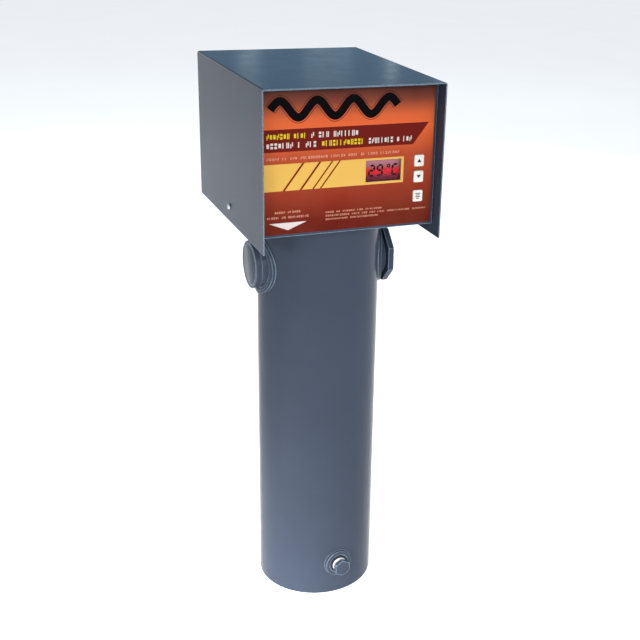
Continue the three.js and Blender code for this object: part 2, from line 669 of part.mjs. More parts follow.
function terminalBlock() {
  const { halfWidth, y, halfDepth, top, poles, fin, finHigh } = TERMINALS;
  const base = blockAt(0, y, halfWidth, halfDepth, BOX_PLATE_TOP + GAP, top - finHigh);
  const pitch = 2 * (halfWidth - fin) / poles;
  const fins = Array.from({ length: poles + 1 }, (_, index) =>
    blockAt(fin - halfWidth + index * pitch, y, fin, halfDepth, top - finHigh - SUNK, top));
  return piece('terminal_block', join(base, ...fins), BLACK_PLASTIC);
}

function groundLug() {
  const { x, y, half, top, wire, wireHigh, screw } = GROUND_LUG;
  const z0 = BOX_PLATE_TOP + GAP;
  const body = blockAt(x, y, half, half, z0, top);
  const wireHole = rod(wire, -half - PAST, half + PAST, SHANK_SIDES)
    .rotateX(Math.PI / 2)
    .translate(x, y, z0 + wireHigh);
  const screwHead = rod(screw, top - SUNK, top + screw, SHANK_SIDES).translate(x, y, 0);
  return piece('ground_lug', join(cut(body, wireHole), screwHead), COPPER);
}

function pressureSwitch() {
  const { x, y, radius, base, step, top } = PRESSURE_SWITCH;
  const z0 = BOX_PLATE_TOP + GAP;
  const body = join(rod(radius, z0, z0 + base), rod(radius - step, z0 + base - SUNK, top));
  return at(piece('pressure_switch_body', body, BLACK_PLASTIC), x, y, 0);
}

function pressureKnob() {
  const { x, y, top } = PRESSURE_SWITCH;
  const grip = join(
    rod(KNOB.radius, top + GAP, KNOB.top),
    blockAt(0, 0, KNOB.grip, KNOB.radius - KNOB.grip, KNOB.top - SUNK, KNOB.top + KNOB.gripHigh),
  );
  return at(piece('pressure_knob', grip, CREAM_PLASTIC), x, y, 0);
}

// The gland stands out of the rear panel, and its thread passes through to the locknut inside.
function conduitGland() {
  const nutFace = BOX_INNER_BACK - GAP;
  const threadStart = nutFace - GLAND.locknut - 1;
  const nutEnd = BOX.back + GLAND.nut;
  const solid = join(
    hexBar(GLAND.flats, BOX.back + GAP, nutEnd),
    rod(GLAND.flats / 2 - 1, nutEnd - SUNK, GLAND.end),
    rod(GLAND.thread, threadStart, BOX.back + SUNK),
  );
  const body = cut(solid, rod(GLAND.bore, threadStart - PAST, GLAND.end + PAST));
  const gland = piece('conduit_gland', body, BLACK_PLASTIC);
  const nut = cut(
    hexBar(GLAND.flats, nutFace - GLAND.locknut, nutFace),
    rod(GLAND.thread + GAP, threadStart, nutFace + PAST),
  );
  const group = new THREE.Group();
  group.rotation.x = -Math.PI / 2;
  group.position.z = GLAND.z;
  group.add(gland, piece('gland_locknut', nut, BLACK_PLASTIC));
  return group;
}

// ---------------------------------------------------------------- leads inside the box

// A lead's cut end can lean a little, so it stops further from what it meets.
const LEAD_GAP = 0.6;
const STRAP_TOP = STRAP.bottom + STRAP.thick + LEAD_GAP;
const CONTACTOR_FRONT = CONTACTOR.y - CONTACTOR.halfDepth - LEAD_GAP;

function elementLead(name, strapY, contactorX, arch, finish) {
  return piece(name, leadGeometry([
    [0, strapY, STRAP_TOP],
    [0, strapY, STRAP_TOP + 12],
    [contactorX * 0.35, strapY + (CONTACTOR_FRONT - strapY) * 0.3, arch],
    [contactorX * 0.9, strapY + (CONTACTOR_FRONT - strapY) * 0.75, arch - 8],
    [contactorX, CONTACTOR_FRONT - 8, 618],
    [contactorX, CONTACTOR_FRONT, 618],
  ]), finish);
}

function supplyLead() {
  const start = TERMINALS.halfWidth * 0.65;
  const blockTop = TERMINALS.top - TERMINALS.finHigh + LEAD_GAP;
  return piece('supply_lead', leadGeometry([
    [start, TERMINALS.y, blockTop],
    [start, TERMINALS.y, blockTop + 14],
    [start + 12, TERMINALS.y, blockTop + 26],
    [CONTACTOR.x - CONTACTOR.halfWidth - 6, TERMINALS.y, 622],
    [CONTACTOR.x - CONTACTOR.halfWidth - LEAD_GAP, TERMINALS.y, 622],
  ]), LEAD_BLACK);
}

function boardLead() {
  const start = TRANSFORMER.y - TRANSFORMER.halfDepth - LEAD_GAP;
  return piece('board_lead', leadGeometry([
    [TRANSFORMER.x, start, 600],
    [TRANSFORMER.x, start - 10, 602],
    [-88, 40, 618],
    [-70, -30, 636],
    [-20, -76, 648],
    [22, -90, 650],
    [22, BOARD.front + BOARD.thick + LEAD_GAP, 650],
  ]), LEAD_GREY);
}

function sensorLead() {
  return piece('sensor_lead', leadGeometry([
    [WELL.x, -WELL.y, WELL_MOUTH],
    [WELL.x, -WELL.y, WELL_MOUTH + 12],
    [-36, -70, 612],
    [0, -86, 618],
    [20, -92, 618],
    [20, BOARD.front + BOARD.thick + LEAD_GAP, 618],
  ]), LEAD_BLACK);
}

function limitCapillary() {
  const capillary = 1.5;
  return piece('limit_capillary', leadGeometry([
    [WELL.x, WELL.y, WELL_MOUTH],
    [WELL.x, WELL.y, WELL_MOUTH + 10],
    [-66, 34, 606],
    [-84, -10, 604],
    [-84, -60, 594],
    [RESET.x, RESET.y + LIMIT_BODY.halfDepth + 8, 590],
    [RESET.x, RESET.y + LIMIT_BODY.halfDepth + LEAD_GAP, 590],
  ], capillary), COPPER);
}

function pressureTube() {
  const { x, y, radius, step, tubeZ } = PRESSURE_SWITCH;
  const bodyBack = y + radius - step + LEAD_GAP;
  return piece('pressure_tube', leadGeometry([
    [PRESSURE_TAP.x, PRESSURE_TAP.y, TOP_PLATE_BOTTOM - 3],
    [PRESSURE_TAP.x, PRESSURE_TAP.y, TOP_PLATE_TOP],
    [PRESSURE_TAP.x, PRESSURE_TAP.y, tubeZ - 8],
    [PRESSURE_TAP.x + 8, PRESSURE_TAP.y - 7, tubeZ + 4],
    [x - 10, y + 45, tubeZ + 3],
    [x, y + 28, tubeZ],
    [x, bodyBack, tubeZ],
  ], PRESSURE_TAP.radius), COPPER);
}

// ---------------------------------------------------------------- hood

function hood() {
  const half = HOOD.width / 2;
  const { sheet, bend } = HOOD;
  const skirt = TOTAL_HEIGHT - HOOD.height;
  const outline = new THREE.Shape();
  outline.moveTo(-half, skirt);
  outline.lineTo(-half + sheet, skirt);
  outline.lineTo(-half + sheet, TOTAL_HEIGHT - bend);
  outline.absarc(-half + bend, TOTAL_HEIGHT - bend, bend - sheet, Math.PI, Math.PI / 2, true);
  outline.lineTo(half - bend, TOTAL_HEIGHT - sheet);
  outline.absarc(half - bend, TOTAL_HEIGHT - bend, bend - sheet, Math.PI / 2, 0, true);
  outline.lineTo(half - sheet, skirt);
  outline.lineTo(half, skirt);
  outline.lineTo(half, TOTAL_HEIGHT - bend);
  outline.absarc(half - bend, TOTAL_HEIGHT - bend, bend, 0, Math.PI / 2);
  outline.lineTo(-half + bend, TOTAL_HEIGHT);
  outline.absarc(-half + bend, TOTAL_HEIGHT - bend, bend, Math.PI / 2, Math.PI);
  const shell = extrudeAlongY(outline, HOOD.front, HOOD_BACK, 3);
  const screwHoles = rod(HOOD_SCREW.shank + GAP, -half - PAST, half + PAST, HOLE_SIDES)
    .rotateY(Math.PI / 2)
    .translate(0, HOOD_SCREW.y, HOOD_SCREW.z);
  return piece('hood', cut(shell, screwHoles), PAINT);
}

// One screw with its nut, modelled along +Z outwards and turned to the left or right side.
function hoodFastener(side, direction) {
  const face = HOOD.width / 2 + GAP;
  const nutOuter = BOX.halfWidth - BOX.sheet - GAP;
  const nutInner = nutOuter - HOOD_SCREW.nutHigh;
  const { head, headHigh, shank } = HOOD_SCREW;
  const screw = join(
    turned([
      [0, face],
      [head, face],
      [head, face + headHigh * 0.35],
      [head * 0.75, face + headHigh * 0.85],
      [head * 0.4, face + headHigh],
      [0, face + headHigh],
    ], HOLE_SIDES),
    rod(shank, nutInner - HOOD_SCREW.past, face + SUNK, SHANK_SIDES),
  );
  const flatDown = 30;
  const nut = cut(
    hexBar(HOOD_SCREW.nutFlats, nutInner, nutOuter, flatDown),
    rod(shank + GAP, nutInner - PAST, nutOuter + PAST, SHANK_SIDES),
  );
  const group = new THREE.Group();
  group.rotation.y = direction * Math.PI / 2;
  group.position.set(0, HOOD_SCREW.y, HOOD_SCREW.z);
  group.add(piece(`hood_screw_${side}`, screw, ZINC), piece(`hood_nut_${side}`, nut, ZINC));
  return group;
}

// ---------------------------------------------------------------- the whole heater

const heater = new THREE.Group();
heater.add(
  tankTube(),
  tankBasePlate(),
  tankTopPlate(),
  flowBaffle(),
  inletPort(),
  outletPort(),
  drainFitting(),
  elementGasket(),
  elementFlange(),
  ...flangeBolts(),
  hairpin('element_left', -ELEMENT.x),
  hairpin('element_right', ELEMENT.x),
  elementStrap('element_strap_front', -ELEMENT.y),
  elementStrap('element_strap_rear', ELEMENT.y),
  well('thermowell', -WELL.y, BRASS),
  well('limit_well', WELL.y, BRASS),
  ...chassisScrews(),
  controlChassis(),
  frontLabel(),
  piece('display_window', displayPlate(WINDOW), CLEAR),
  piece('display_panel', displayPlate(PANEL), DISPLAY_FILM),
  displayBoard(),
  ...Object.entries(KEY_HEIGHTS).map(([name, z]) => keyCap(name, z)),
  highLimit(),
  resetButton(),
  contactor(),
  contactorArmature(),
  transformer(),
  terminalBlock(),
  groundLug(),
  pressureSwitch(),
  pressureKnob(),
  conduitGland(),
  elementLead('element_lead_front', -ELEMENT.y, 64, 640, LEAD_RED),
  elementLead('element_lead_rear', ELEMENT.y, 92, 626, LEAD_BLACK),
  supplyLead(),
  boardLead(),
  sensorLead(),
  limitCapillary(),
  pressureTube(),
  hood(),
  hoodFastener('left', -1),
  hoodFastener('right', 1),
);

export default heater;
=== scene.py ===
"""Looks of the upright electric pool heater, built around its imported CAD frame."""
import json
import math
import random
from contextlib import contextmanager

import bmesh
import bpy
from mathutils import Matrix, Vector

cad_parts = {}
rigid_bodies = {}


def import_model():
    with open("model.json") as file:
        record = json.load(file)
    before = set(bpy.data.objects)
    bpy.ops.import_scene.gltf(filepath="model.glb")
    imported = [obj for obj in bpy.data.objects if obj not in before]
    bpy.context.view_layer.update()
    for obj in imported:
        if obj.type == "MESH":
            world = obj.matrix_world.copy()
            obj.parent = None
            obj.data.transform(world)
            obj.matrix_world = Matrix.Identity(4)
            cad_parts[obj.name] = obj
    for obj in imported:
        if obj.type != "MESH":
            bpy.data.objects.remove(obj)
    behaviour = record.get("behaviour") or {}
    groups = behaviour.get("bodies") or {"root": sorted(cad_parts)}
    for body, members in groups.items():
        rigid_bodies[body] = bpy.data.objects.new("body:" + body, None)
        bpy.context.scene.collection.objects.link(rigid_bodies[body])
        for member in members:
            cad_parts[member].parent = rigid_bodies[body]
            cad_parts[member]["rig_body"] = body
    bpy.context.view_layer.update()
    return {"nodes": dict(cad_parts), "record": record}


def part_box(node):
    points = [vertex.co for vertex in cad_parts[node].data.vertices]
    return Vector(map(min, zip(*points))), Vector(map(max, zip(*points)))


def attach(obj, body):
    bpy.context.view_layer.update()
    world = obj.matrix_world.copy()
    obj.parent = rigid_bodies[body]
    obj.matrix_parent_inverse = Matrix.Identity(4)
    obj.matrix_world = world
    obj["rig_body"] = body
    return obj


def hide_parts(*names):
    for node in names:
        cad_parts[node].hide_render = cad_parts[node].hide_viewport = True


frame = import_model()
NODES = frame["nodes"]
MM = 0.001

# ---------------- camera, in metres and degrees

CAMERA_PLACE = (-0.49408, -1.35568, 0.99265)
CAMERA_AZIMUTH = -24.715
CAMERA_ELEVATION = 21.985
CAMERA_ROLL = 2.35
CAMERA_LENS = 61.213
CAMERA_SHIFT = -0.125


def add_camera():
    azimuth, elevation, roll = (math.radians(a) for a in (CAMERA_AZIMUTH, CAMERA_ELEVATION, CAMERA_ROLL))
    back = Vector((math.sin(azimuth) * math.cos(elevation),
                   -math.cos(azimuth) * math.cos(elevation),
                   math.sin(elevation)))
    right = Vector((0, 0, 1)).cross(back).normalized()
    right.rotate(Matrix.Rotation(roll, 3, back))
    up = back.cross(right)
    camera = bpy.data.objects.new("camera", bpy.data.cameras.new("camera"))
    camera.data.lens = CAMERA_LENS
    camera.data.sensor_width = 36
    camera.data.shift_x = CAMERA_SHIFT
    camera.matrix_world = Matrix.Translation(CAMERA_PLACE) @ Matrix((right, up, back)).transposed().to_4x4()
    bpy.context.scene.collection.objects.link(camera)
    bpy.context.scene.camera = camera


# ---------------- shader nodes


def srgb(red, green, blue):
    """A display colour, 0 to 255, as the linear colour that shaders use."""
    def linear(value):
        value /= 255
        return value / 12.92 if value <= 0.04045 else ((value + 0.055) / 1.055) ** 2.4
    return (linear(red), linear(green), linear(blue), 1)


def shade(colour, factor):
    return tuple(min(channel * factor, 1) for channel in colour[:3]) + (1,)


class Finish:
    """A material and short ways of adding linked nodes to it."""

    def __init__(self, name):
        self.material = bpy.data.materials.new(name)
        self.material.use_nodes = True
        self.tree = self.material.node_tree
        self.shader = self.tree.nodes["Principled BSDF"]

    def node(self, kind, inputs=None, **settings):
        made = self.tree.nodes.new(kind)
        for key, value in settings.items():
            setattr(made, key, value)
        for key, value in (inputs or {}).items():
            self.feed(made.inputs[key], value)
        return made

    def feed(self, socket, value):
        if isinstance(value, bpy.types.NodeSocket):
            self.tree.links.new(value, socket)
        else:
            socket.default_value = value

    def set(self, **values):
        """Sets the shader's own sockets: Base_Color stands for Base Color, and so on."""
        for key, value in values.items():
            self.feed(self.shader.inputs[key.replace("_", " ")], value)
        return self

    def place(self):
        return self.node("ShaderNodeTexCoord").outputs["Object"]

    def noise(self, scale, detail=3.0, rough=0.5, stretch=None):
        where = self.place()
        if stretch:
            where = self.node("ShaderNodeMapping", {"Vector": where, "Scale": stretch}).outputs[0]
        settings = {"Vector": where, "Scale": scale, "Detail": detail, "Roughness": rough}
        return self.node("ShaderNodeTexNoise", settings).outputs["Fac"]

    def between(self, value, low, high, start=0.3, stop=0.7):
        """Maps value from start..stop to low..high, held at both ends."""
        inputs = {"Value": value, "From Min": start, "From Max": stop, "To Min": low, "To Max": high}
        return self.node("ShaderNodeMapRange", inputs).outputs[0]

    def mix(self, factor, first, second):
        mixed = self.node("ShaderNodeMix", data_type="RGBA")
        self.feed(mixed.inputs[0], factor)
        self.feed(mixed.inputs[6], first)
        self.feed(mixed.inputs[7], second)
        return mixed.outputs[2]

    def maths(self, operation, first, second):
        made = self.node("ShaderNodeMath", operation=operation)
        self.feed(made.inputs[0], first)
        self.feed(made.inputs[1], second)
        return made.outputs[0]

    def ramp(self, factor, stops):
        made = self.node("ShaderNodeValToRGB", {"Fac": factor})
        elements = made.color_ramp.elements
        while len(elements) < len(stops):
            elements.new(0.5)
        for element, (position, colour) in zip(elements, stops):
            element.position = position
            element.color = colour
        return made.outputs[0]

    def height(self):
        """The surface's height above the floor, in metres."""
        return self.node("ShaderNodeSeparateXYZ", {"Vector": self.place()}).outputs["Z"]

    def edges(self, radius):
        """1 on the piece's edges and 0 on its flats."""
        rounded = self.node("ShaderNodeBevel", {"Radius": radius}, samples=4).outputs[0]
        plain = self.node("ShaderNodeNewGeometry").outputs["Normal"]
        product = self.node("ShaderNodeVectorMath", operation="DOT_PRODUCT")
        self.feed(product.inputs[0], rounded)
        self.feed(product.inputs[1], plain)
        return self.between(product.outputs["Value"], 1.0, 0.0, 0.9, 0.995)

    def bump(self, height, distance, strength=1.0, under=None):
        inputs = {"Height": height, "Distance": distance, "Strength": strength}
        if under is not None:
            inputs["Normal"] = under
        return self.node("ShaderNodeBump", inputs).outputs[0]


# ---------------- finishes

PAINT_COLOUR = srgb(64, 72, 86)
# The pale blue of a painted highlight along the coat's edges.
EDGE_HIGHLIGHT = srgb(176, 200, 220)


def powder_coat():
    """Glossy blue-grey powder coat: slight orange peel, faint cloudiness and dust, and a painted highlight
    along the edges.
    """
    f = Finish("powder_coat")
    cloud = f.noise(9, 4)
    speckle = f.noise(1400, 2)
    base = f.mix(f.between(cloud, 0, 1), shade(PAINT_COLOUR, 0.95), shade(PAINT_COLOUR, 1.05))
    base = f.mix(f.between(speckle, 0, 0.06, 0.5, 0.8), base, shade(PAINT_COLOUR, 1.9))
    # Painted highlight: the edges are mixed towards a pale blue.
    base = f.mix(f.maths("MULTIPLY", f.edges(1.4 * MM), 0.9), base, EDGE_HIGHLIGHT)
    peel = f.bump(f.noise(420, 2, 0.45), 0.06 * MM, 0.1)
    grain = f.bump(speckle, 0.02 * MM, 0.1, under=peel)
    smear = f.noise(26, 5, 0.6)
    f.set(Base_Color=base, Roughness=f.between(smear, 0.15, 0.21), Normal=grain, Specular_IOR_Level=0.07)
    return f.material


def plated(name, colour, roughness, spread):
    """Bright metal with fine streaks and a little dulling."""
    f = Finish(name)
    streak = f.noise(900, 3, 0.6, stretch=(1, 1, 6))
    dull = f.noise(60, 4)
    base = f.mix(f.between(dull, 0, 1), shade(colour, 0.82), colour)
    base = f.mix(f.maths("MULTIPLY", f.edges(0.4 * MM), 0.5), base, shade(colour, 1.25))
    f.set(Base_Color=base, Metallic=1.0, Roughness=f.between(dull, roughness - spread, roughness + spread))
    f.set(Normal=f.bump(streak, 0.02 * MM, 0.35))
    return f.material


def moulded(name, colour, roughness, grain=1500):
    """Moulded plastic or rubber: fine texture, slight mottling and paler edges."""
    f = Finish(name)
    mottle = f.noise(45, 4)
    texture = f.noise(grain, 3)
    base = f.mix(f.between(mottle, 0, 1), shade(colour, 0.88), shade(colour, 1.1))
    base = f.mix(f.maths("MULTIPLY", f.edges(0.5 * MM), 0.25), base, shade(colour, 1.8))
    f.set(Base_Color=base, Roughness=f.between(mottle, roughness - 0.07, roughness + 0.07))
    f.set(Normal=f.bump(texture, 0.03 * MM, 0.4))
    return f.material


def tape_and_painted_glint():
    """White sealing tape wound round a thread, in soft overlapping turns, with a painted glow that stands in
    for a bright glint on the thread.
    """
    f = Finish("tape_and_painted_glint")
    turns = f.noise(500, 3, 0.6, stretch=(1, 4, 1))
    base = f.mix(f.between(turns, 0, 1), srgb(236, 238, 242), srgb(252, 252, 252))
    f.set(Base_Color=base, Roughness=f.between(turns, 0.35, 0.5), Normal=f.bump(turns, 0.05 * MM, 0.4))
    # Painted light: the tape glows a little, standing in for a bright glint on the thread.
    f.set(Emission_Color=base, Emission_Strength=0.25)
    return f.material


def circuit_board():
    """Green solder mask over faint copper tracks."""
    f = Finish("circuit_board")
    where = f.node("ShaderNodeMapping", {"Vector": f.place(), "Scale": (260, 260, 260)}).outputs[0]
    tracks = f.node("ShaderNodeTexBrick", {"Vector": where, "Scale": 1.0, "Mortar Size": 0.08,
                                           "Color1": (0, 0, 0, 1), "Color2": (0, 0, 0, 1),
                                           "Mortar": (1, 1, 1, 1)}).outputs["Color"]
    green = srgb(24, 84, 48)
    base = f.mix(f.between(f.noise(120), 0, 1), shade(green, 0.8), shade(green, 1.1))
    base = f.mix(f.maths("MULTIPLY", tracks, 0.35), base, srgb(70, 130, 80))
    f.set(Base_Color=base, Roughness=f.between(f.noise(80), 0.28, 0.42), Coat_Weight=0.3)
    f.set(Normal=f.bump(tracks, 0.05 * MM, 0.5))
    return f.material


def display_glow(low, high):
    """The lit display: pale pink at the top, a painted reflection in the window, then bright red in the
    middle and dark at the foot.
    """
    f = Finish("display_glow")
    level = f.between(f.height(), 0, 1, low, high)
    # The pale pink stops at the top are a painted reflection in the window.
    stops = [(0.0, srgb(82, 12, 34)), (0.22, srgb(108, 14, 38)), (0.38, srgb(200, 12, 24)),
             (0.52, srgb(184, 28, 40)), (0.66, srgb(152, 86, 94)), (1.0, srgb(166, 120, 124))]
    glow = f.ramp(level, stops)
    cells = f.noise(2600, 1)
    glow = f.mix(f.between(cells, 0, 0.02), glow, (0, 0, 0, 1))
    f.set(Base_Color=glow, Emission_Color=glow, Emission_Strength=0.3, Specular_IOR_Level=0.1)
    f.set(Roughness=f.between(f.noise(300), 0.35, 0.45))
    return f.material


def clear_window():
    """A thin clear pane with faint scuffs."""
    f = Finish("clear_window")
    scuff = f.noise(140, 5, 0.7)
    f.set(Base_Color=srgb(228, 218, 222), Alpha=f.between(scuff, 0.005, 0.02))
    f.set(Roughness=f.between(scuff, 0.1, 0.2), Normal=f.bump(scuff, 0.005 * MM, 0.05))
    return f.material


# Printed orange to dark red; the brown stops at the top are a painted shadow under the hood's overhang.
PRINT_AND_SHADOW_STOPS = [
    (0.0, srgb(98, 24, 16)), (0.08, srgb(106, 26, 18)), (0.22, srgb(138, 44, 28)),
    (0.52, srgb(182, 73, 44)), (0.72, srgb(236, 105, 54)), (0.81, srgb(220, 97, 54)),
    (0.91, srgb(128, 62, 48)), (1.0, srgb(64, 36, 36)),
]


def printed(f, colour):
    """Gives a finish the satin surface of printed film, in the given colour."""
    satin = f.bump(f.noise(1100, 2), 0.01 * MM, 0.2)
    f.set(Base_Color=colour, Roughness=f.between(f.noise(40, 4), 0.42, 0.55), Normal=satin)
    f.set(Specular_IOR_Level=0.03)
    return f.material


def label_film(low, high):
    """Printed film: orange falling to dark red at the foot, with a painted shadow of the hood's overhang that
    turns the top brown.
    """
    f = Finish("label_film")
    level = f.between(f.height(), 0, 1, low, high)
    # The brown top of this ramp is painted shadow; the rest is print.
    ink = f.ramp(level, PRINT_AND_SHADOW_STOPS)
    dither = f.noise(2200, 2)
    ink = f.mix(f.between(dither, 0, 0.1), ink, srgb(96, 26, 16))
    ink = f.mix(f.between(f.noise(14, 4), 0, 0.05), ink, srgb(255, 170, 120))
    return printed(f, ink)


def ink(name, colour):
    """One printed colour, a little uneven."""
    f = Finish(name)
    return printed(f, f.mix(f.between(f.noise(1800, 2), 0, 1), shade(colour, 0.93), shade(colour, 1.04)))


FLOOR_GLOW = 0.78
FLOOR_COLOUR = (0.92, 0.905, 0.89, 1)


def floor_finish():
    f = Finish("studio_floor")
    base = f.mix(f.between(f.noise(3, 4), 0, 1), shade(FLOOR_COLOUR, 0.98), FLOOR_COLOUR)
    f.set(Base_Color=base, Roughness=f.between(f.noise(12, 4), 0.6, 0.7), Specular_IOR_Level=0.1)
    f.set(Emission_Color=base, Emission_Strength=FLOOR_GLOW)
    return f.material


# ---------------- mesh building


def moved(x, y, z):
    return Matrix.Translation((x * MM, y * MM, z * MM))


def new_object(name, mesh):
    made = bpy.data.objects.new(name, mesh)
    bpy.context.scene.collection.objects.link(made)
    return made


@contextmanager
def editing(mesh):
    """Opens a mesh for editing and writes the result back."""
    work = bmesh.new()
    work.from_mesh(mesh)
    yield work
    work.to_mesh(mesh)
    work.free()


def mesh_object(name, points, faces, place=None):
    mesh = bpy.data.meshes.new(name)
    mesh.from_pydata([tuple(p) for p in points], [], faces)
    with editing(mesh) as work:
        bmesh.ops.remove_doubles(work, verts=work.verts, dist=1e-7)
        bmesh.ops.recalc_face_normals(work, faces=work.faces)
    if place is not None:
        mesh.transform(place)
    return new_object(name, mesh)


def loft(name, rows, place=None, closed_rows=False):
    """Joins rows of points into a skin. Each row runs round, and a row of one point is a pole."""
    points, starts = [], []
    for row in rows:
        starts.append(len(points))
        points.extend(row)
    pairs = list(zip(range(len(rows) - 1), range(1, len(rows))))
    if closed_rows:
        pairs.append((len(rows) - 1, 0))
    faces = []
    for a, b in pairs:
        count = max(len(rows[a]), len(rows[b]))
        for i in range(count):
            j = (i + 1) % count
            corner = [starts[a] + i % len(rows[a]), starts[a] + j % len(rows[a]),
                      starts[b] + j % len(rows[b]), starts[b] + i % len(rows[b])]
            unique = list(dict.fromkeys(corner))
            faces.append(unique)
    return mesh_object(name, points, faces, place)


def round_axis(radius, angle, height):
    """A point from its radius and height in mm and its angle in radians."""
    return (radius * MM * math.cos(angle), radius * MM * math.sin(angle), height * MM)


def turned(name, profile, place=None, segments=96):
    """A solid of revolution about local Z, from (radius, height) in mm. It ends on the axis or closes."""
    rows = []
    for radius, height in profile:
        count = 1 if radius < 1e-6 else segments
        rows.append([round_axis(radius, 2 * math.pi * i / count, height) for i in range(count)])
    on_axis = profile[0][0] < 1e-6 and profile[-1][0] < 1e-6
    return loft(name, rows, place, closed_rows=not on_axis)


def prism(name, outline, low, high, place=None):
    """An outline in mm pushed from low to high along local Z."""
    count = len(outline)
    points = [(x * MM, y * MM, z * MM) for z in (low, high) for x, y in outline]
    faces = [list(range(count)), list(range(count, 2 * count))]
    faces += [[i, (i + 1) % count, count + (i + 1) % count, count + i] for i in range(count)]
    return mesh_object(name, points, faces, place)


def brick(name, x, y, z):
    """A box from its (low, high) pairs along X, Y and Z, in mm."""
    corners = [(a * MM, b * MM, c * MM) for a in x for b in y for c in z]
    faces = [(0, 1, 3, 2), (4, 6, 7, 5), (0, 4, 5, 1), (2, 3, 7, 6), (0, 2, 6, 4), (1, 5, 7, 3)]
    return mesh_object(name, corners, faces)


def around(centre, half):
    return centre - half, centre + half


def arc(centre, radius, start, stop, steps):
    """Points on an arc, angles in degrees, both ends included."""
    angles = [math.radians(start + (stop - start) * i / steps) for i in range(steps + 1)]
    return [(centre[0] + radius * math.cos(a), centre[1] + radius * math.sin(a)) for a in angles]


def rectangle(left, right, low, high):
    return [(left, low), (right, low), (right, high), (left, high)]


def rounded_rectangle(left, right, bottom, top, corner, steps=6):
    centres = [(right - corner, bottom + corner, -90), (right - corner, top - corner, 0),
               (left + corner, top - corner, 90), (left + corner, bottom + corner, 180)]
    return [point for x, y, start in centres for point in arc((x, y), corner, start, start + 90, steps)]


def polygon(sides, across_flats, turn=0):
    """A regular polygon with one corner turned from +X by the given angle."""
    radius = across_flats / 2 / math.cos(math.pi / sides)
    return arc((0, 0), radius, turn, turn + 360, sides)[:-1]


def settle(obj):
    """Applies the modifiers that shape a piece, so that later steps see the result."""
    graph = bpy.context.evaluated_depsgraph_get()
    mesh = bpy.data.meshes.new_from_object(obj.evaluated_get(graph))
    obj.modifiers.clear()
    obj.data = mesh
    return obj


def carve(obj, *tools, operation="DIFFERENCE"):
    """Cuts obj by the tools, or keeps or adds what the operation says, and removes the tools."""
    for tool in tools:
        cut = obj.modifiers.new("cut", "BOOLEAN")
        cut.operation = operation
        cut.solver = "EXACT"
        cut.object = tool
    settle(obj)
    for tool in tools:
        bpy.data.objects.remove(tool)
    return obj


def joined(name, parts):
    """Several closed meshes as one object."""
    mesh = bpy.data.meshes.new(name)
    with editing(mesh) as work:
        for part in parts:
            work.from_mesh(part.data)
    for part in parts:
        bpy.data.objects.remove(part)
    return new_object(name, mesh)


def soften(obj, width=0.3, segments=2, angle=35):
    """Rounds the sharp edges by width mm and shades the rest smoothly."""
    for face in obj.data.polygons:
        face.use_smooth = True
    bevel = obj.modifiers.new("round_edges", "BEVEL")
    bevel.width = width * MM
    bevel.segments = segments
    bevel.limit_method = "ANGLE"
    bevel.angle_limit = math.radians(angle)
    bevel.harden_normals = False
    normals = obj.modifiers.new("even_normals", "WEIGHTED_NORMAL")
    normals.keep_sharp = False
    return obj


def smooth(obj, angle=35):
    """Shades smoothly, with a crease wherever two faces meet at more than the angle."""
    obj.data.shade_smooth()
    obj.data.set_sharp_from_angle(angle=math.radians(angle))
    return obj


FINISHES = {}


def dress(obj, body, slot, *replaced, finish=None):
    """Puts a piece on its body. It gets its slot's own finish unless another is named."""
    obj.data.materials.clear()
    obj.data.materials.append(FINISHES[finish or slot])
    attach(obj, body)
    if replaced:
        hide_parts(*replaced)
    return obj


# ---------------- sizes from the frame, in mm

TANK_WALL = 3.4
TANK_SEGMENTS = 192
HOOD_SHEET = 1.6
HOOD_BEND = 3.0
# The gap between pieces that would share a face, and how far a mesh starts inside the one it stands on.
CLEAR = 0.3
SUNK = 0.3
PORT_BORE = 21.0
PORT_STUB = 32.0
DRAIN_ANGLE = -86.0
DRAIN_BORE = 10.9
KEY_SKIRT = 1.6
SCREW_SHANK = 2.1
SCREW_HOLE = 2.4
# Depth and pitch of each thread.
OUTLET_THREAD = (0.9, 2.2)
DRAIN_THREAD = (0.7, 1.8)
SCREW_THREAD = (0.25, 0.8)
KEYS = ("up_key", "down_key", "mode_key")

# Local Z of a panel drawing points out of the front, and its Y points up.
UPRIGHT = Matrix.Rotation(math.pi / 2, 4, "X")


def span(node, axis):
    """Where a CAD node starts and ends along X, Y or Z, in mm."""
    low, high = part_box(node)
    index = "XYZ".index(axis)
    return low[index] / MM, high[index] / MM


def middle(node, axis):
    return sum(span(node, axis)) / 2


def middles(node, axes):
    return [middle(node, axis) for axis in axes]


def spans(node):
    return [span(node, axis) for axis in "XYZ"]


def half_size(node, axis):
    low, high = span(node, axis)
    return (high - low) / 2


def inset_span(node, axis, margin):
    low, high = span(node, axis)
    return low + margin, high - margin


def front_plate(name, node):
    """A plate with small round corners that fills the box of a node on the front."""
    front, back = span(node, "Y")
    return prism(name, rounded_rectangle(*span(node, "X"), *span(node, "Z"), 1.0), -back, -front, UPRIGHT)


def on_side(angle, height):
    """A frame on the tank's side: its Z points out of the tank and its X down."""
    turn = Matrix.Rotation(math.radians(angle), 4, "Z") @ Matrix.Rotation(math.pi / 2, 4, "Y")
    return moved(0, 0, height) @ turn


TANK_RADIUS = span("tank_tube", "X")[1]
PORT_HEIGHT = middle("inlet_stub", "Z")
DRAIN_HEIGHT = middle("drain_boss", "Z")
INLET = on_side(180, PORT_HEIGHT)
OUTLET = on_side(0, PORT_HEIGHT)
DRAIN = on_side(DRAIN_ANGLE, DRAIN_HEIGHT)
FACE = span("front_label", "Y")[0]
ON_LABEL = moved(0, FACE, 0) @ UPRIGHT


# ---------------- more shapes


def rod(name, radius, low, high, place=None, segments=96):
    return turned(name, [(0, low), (radius, low), (radius, high), (0, high)], place, segments)


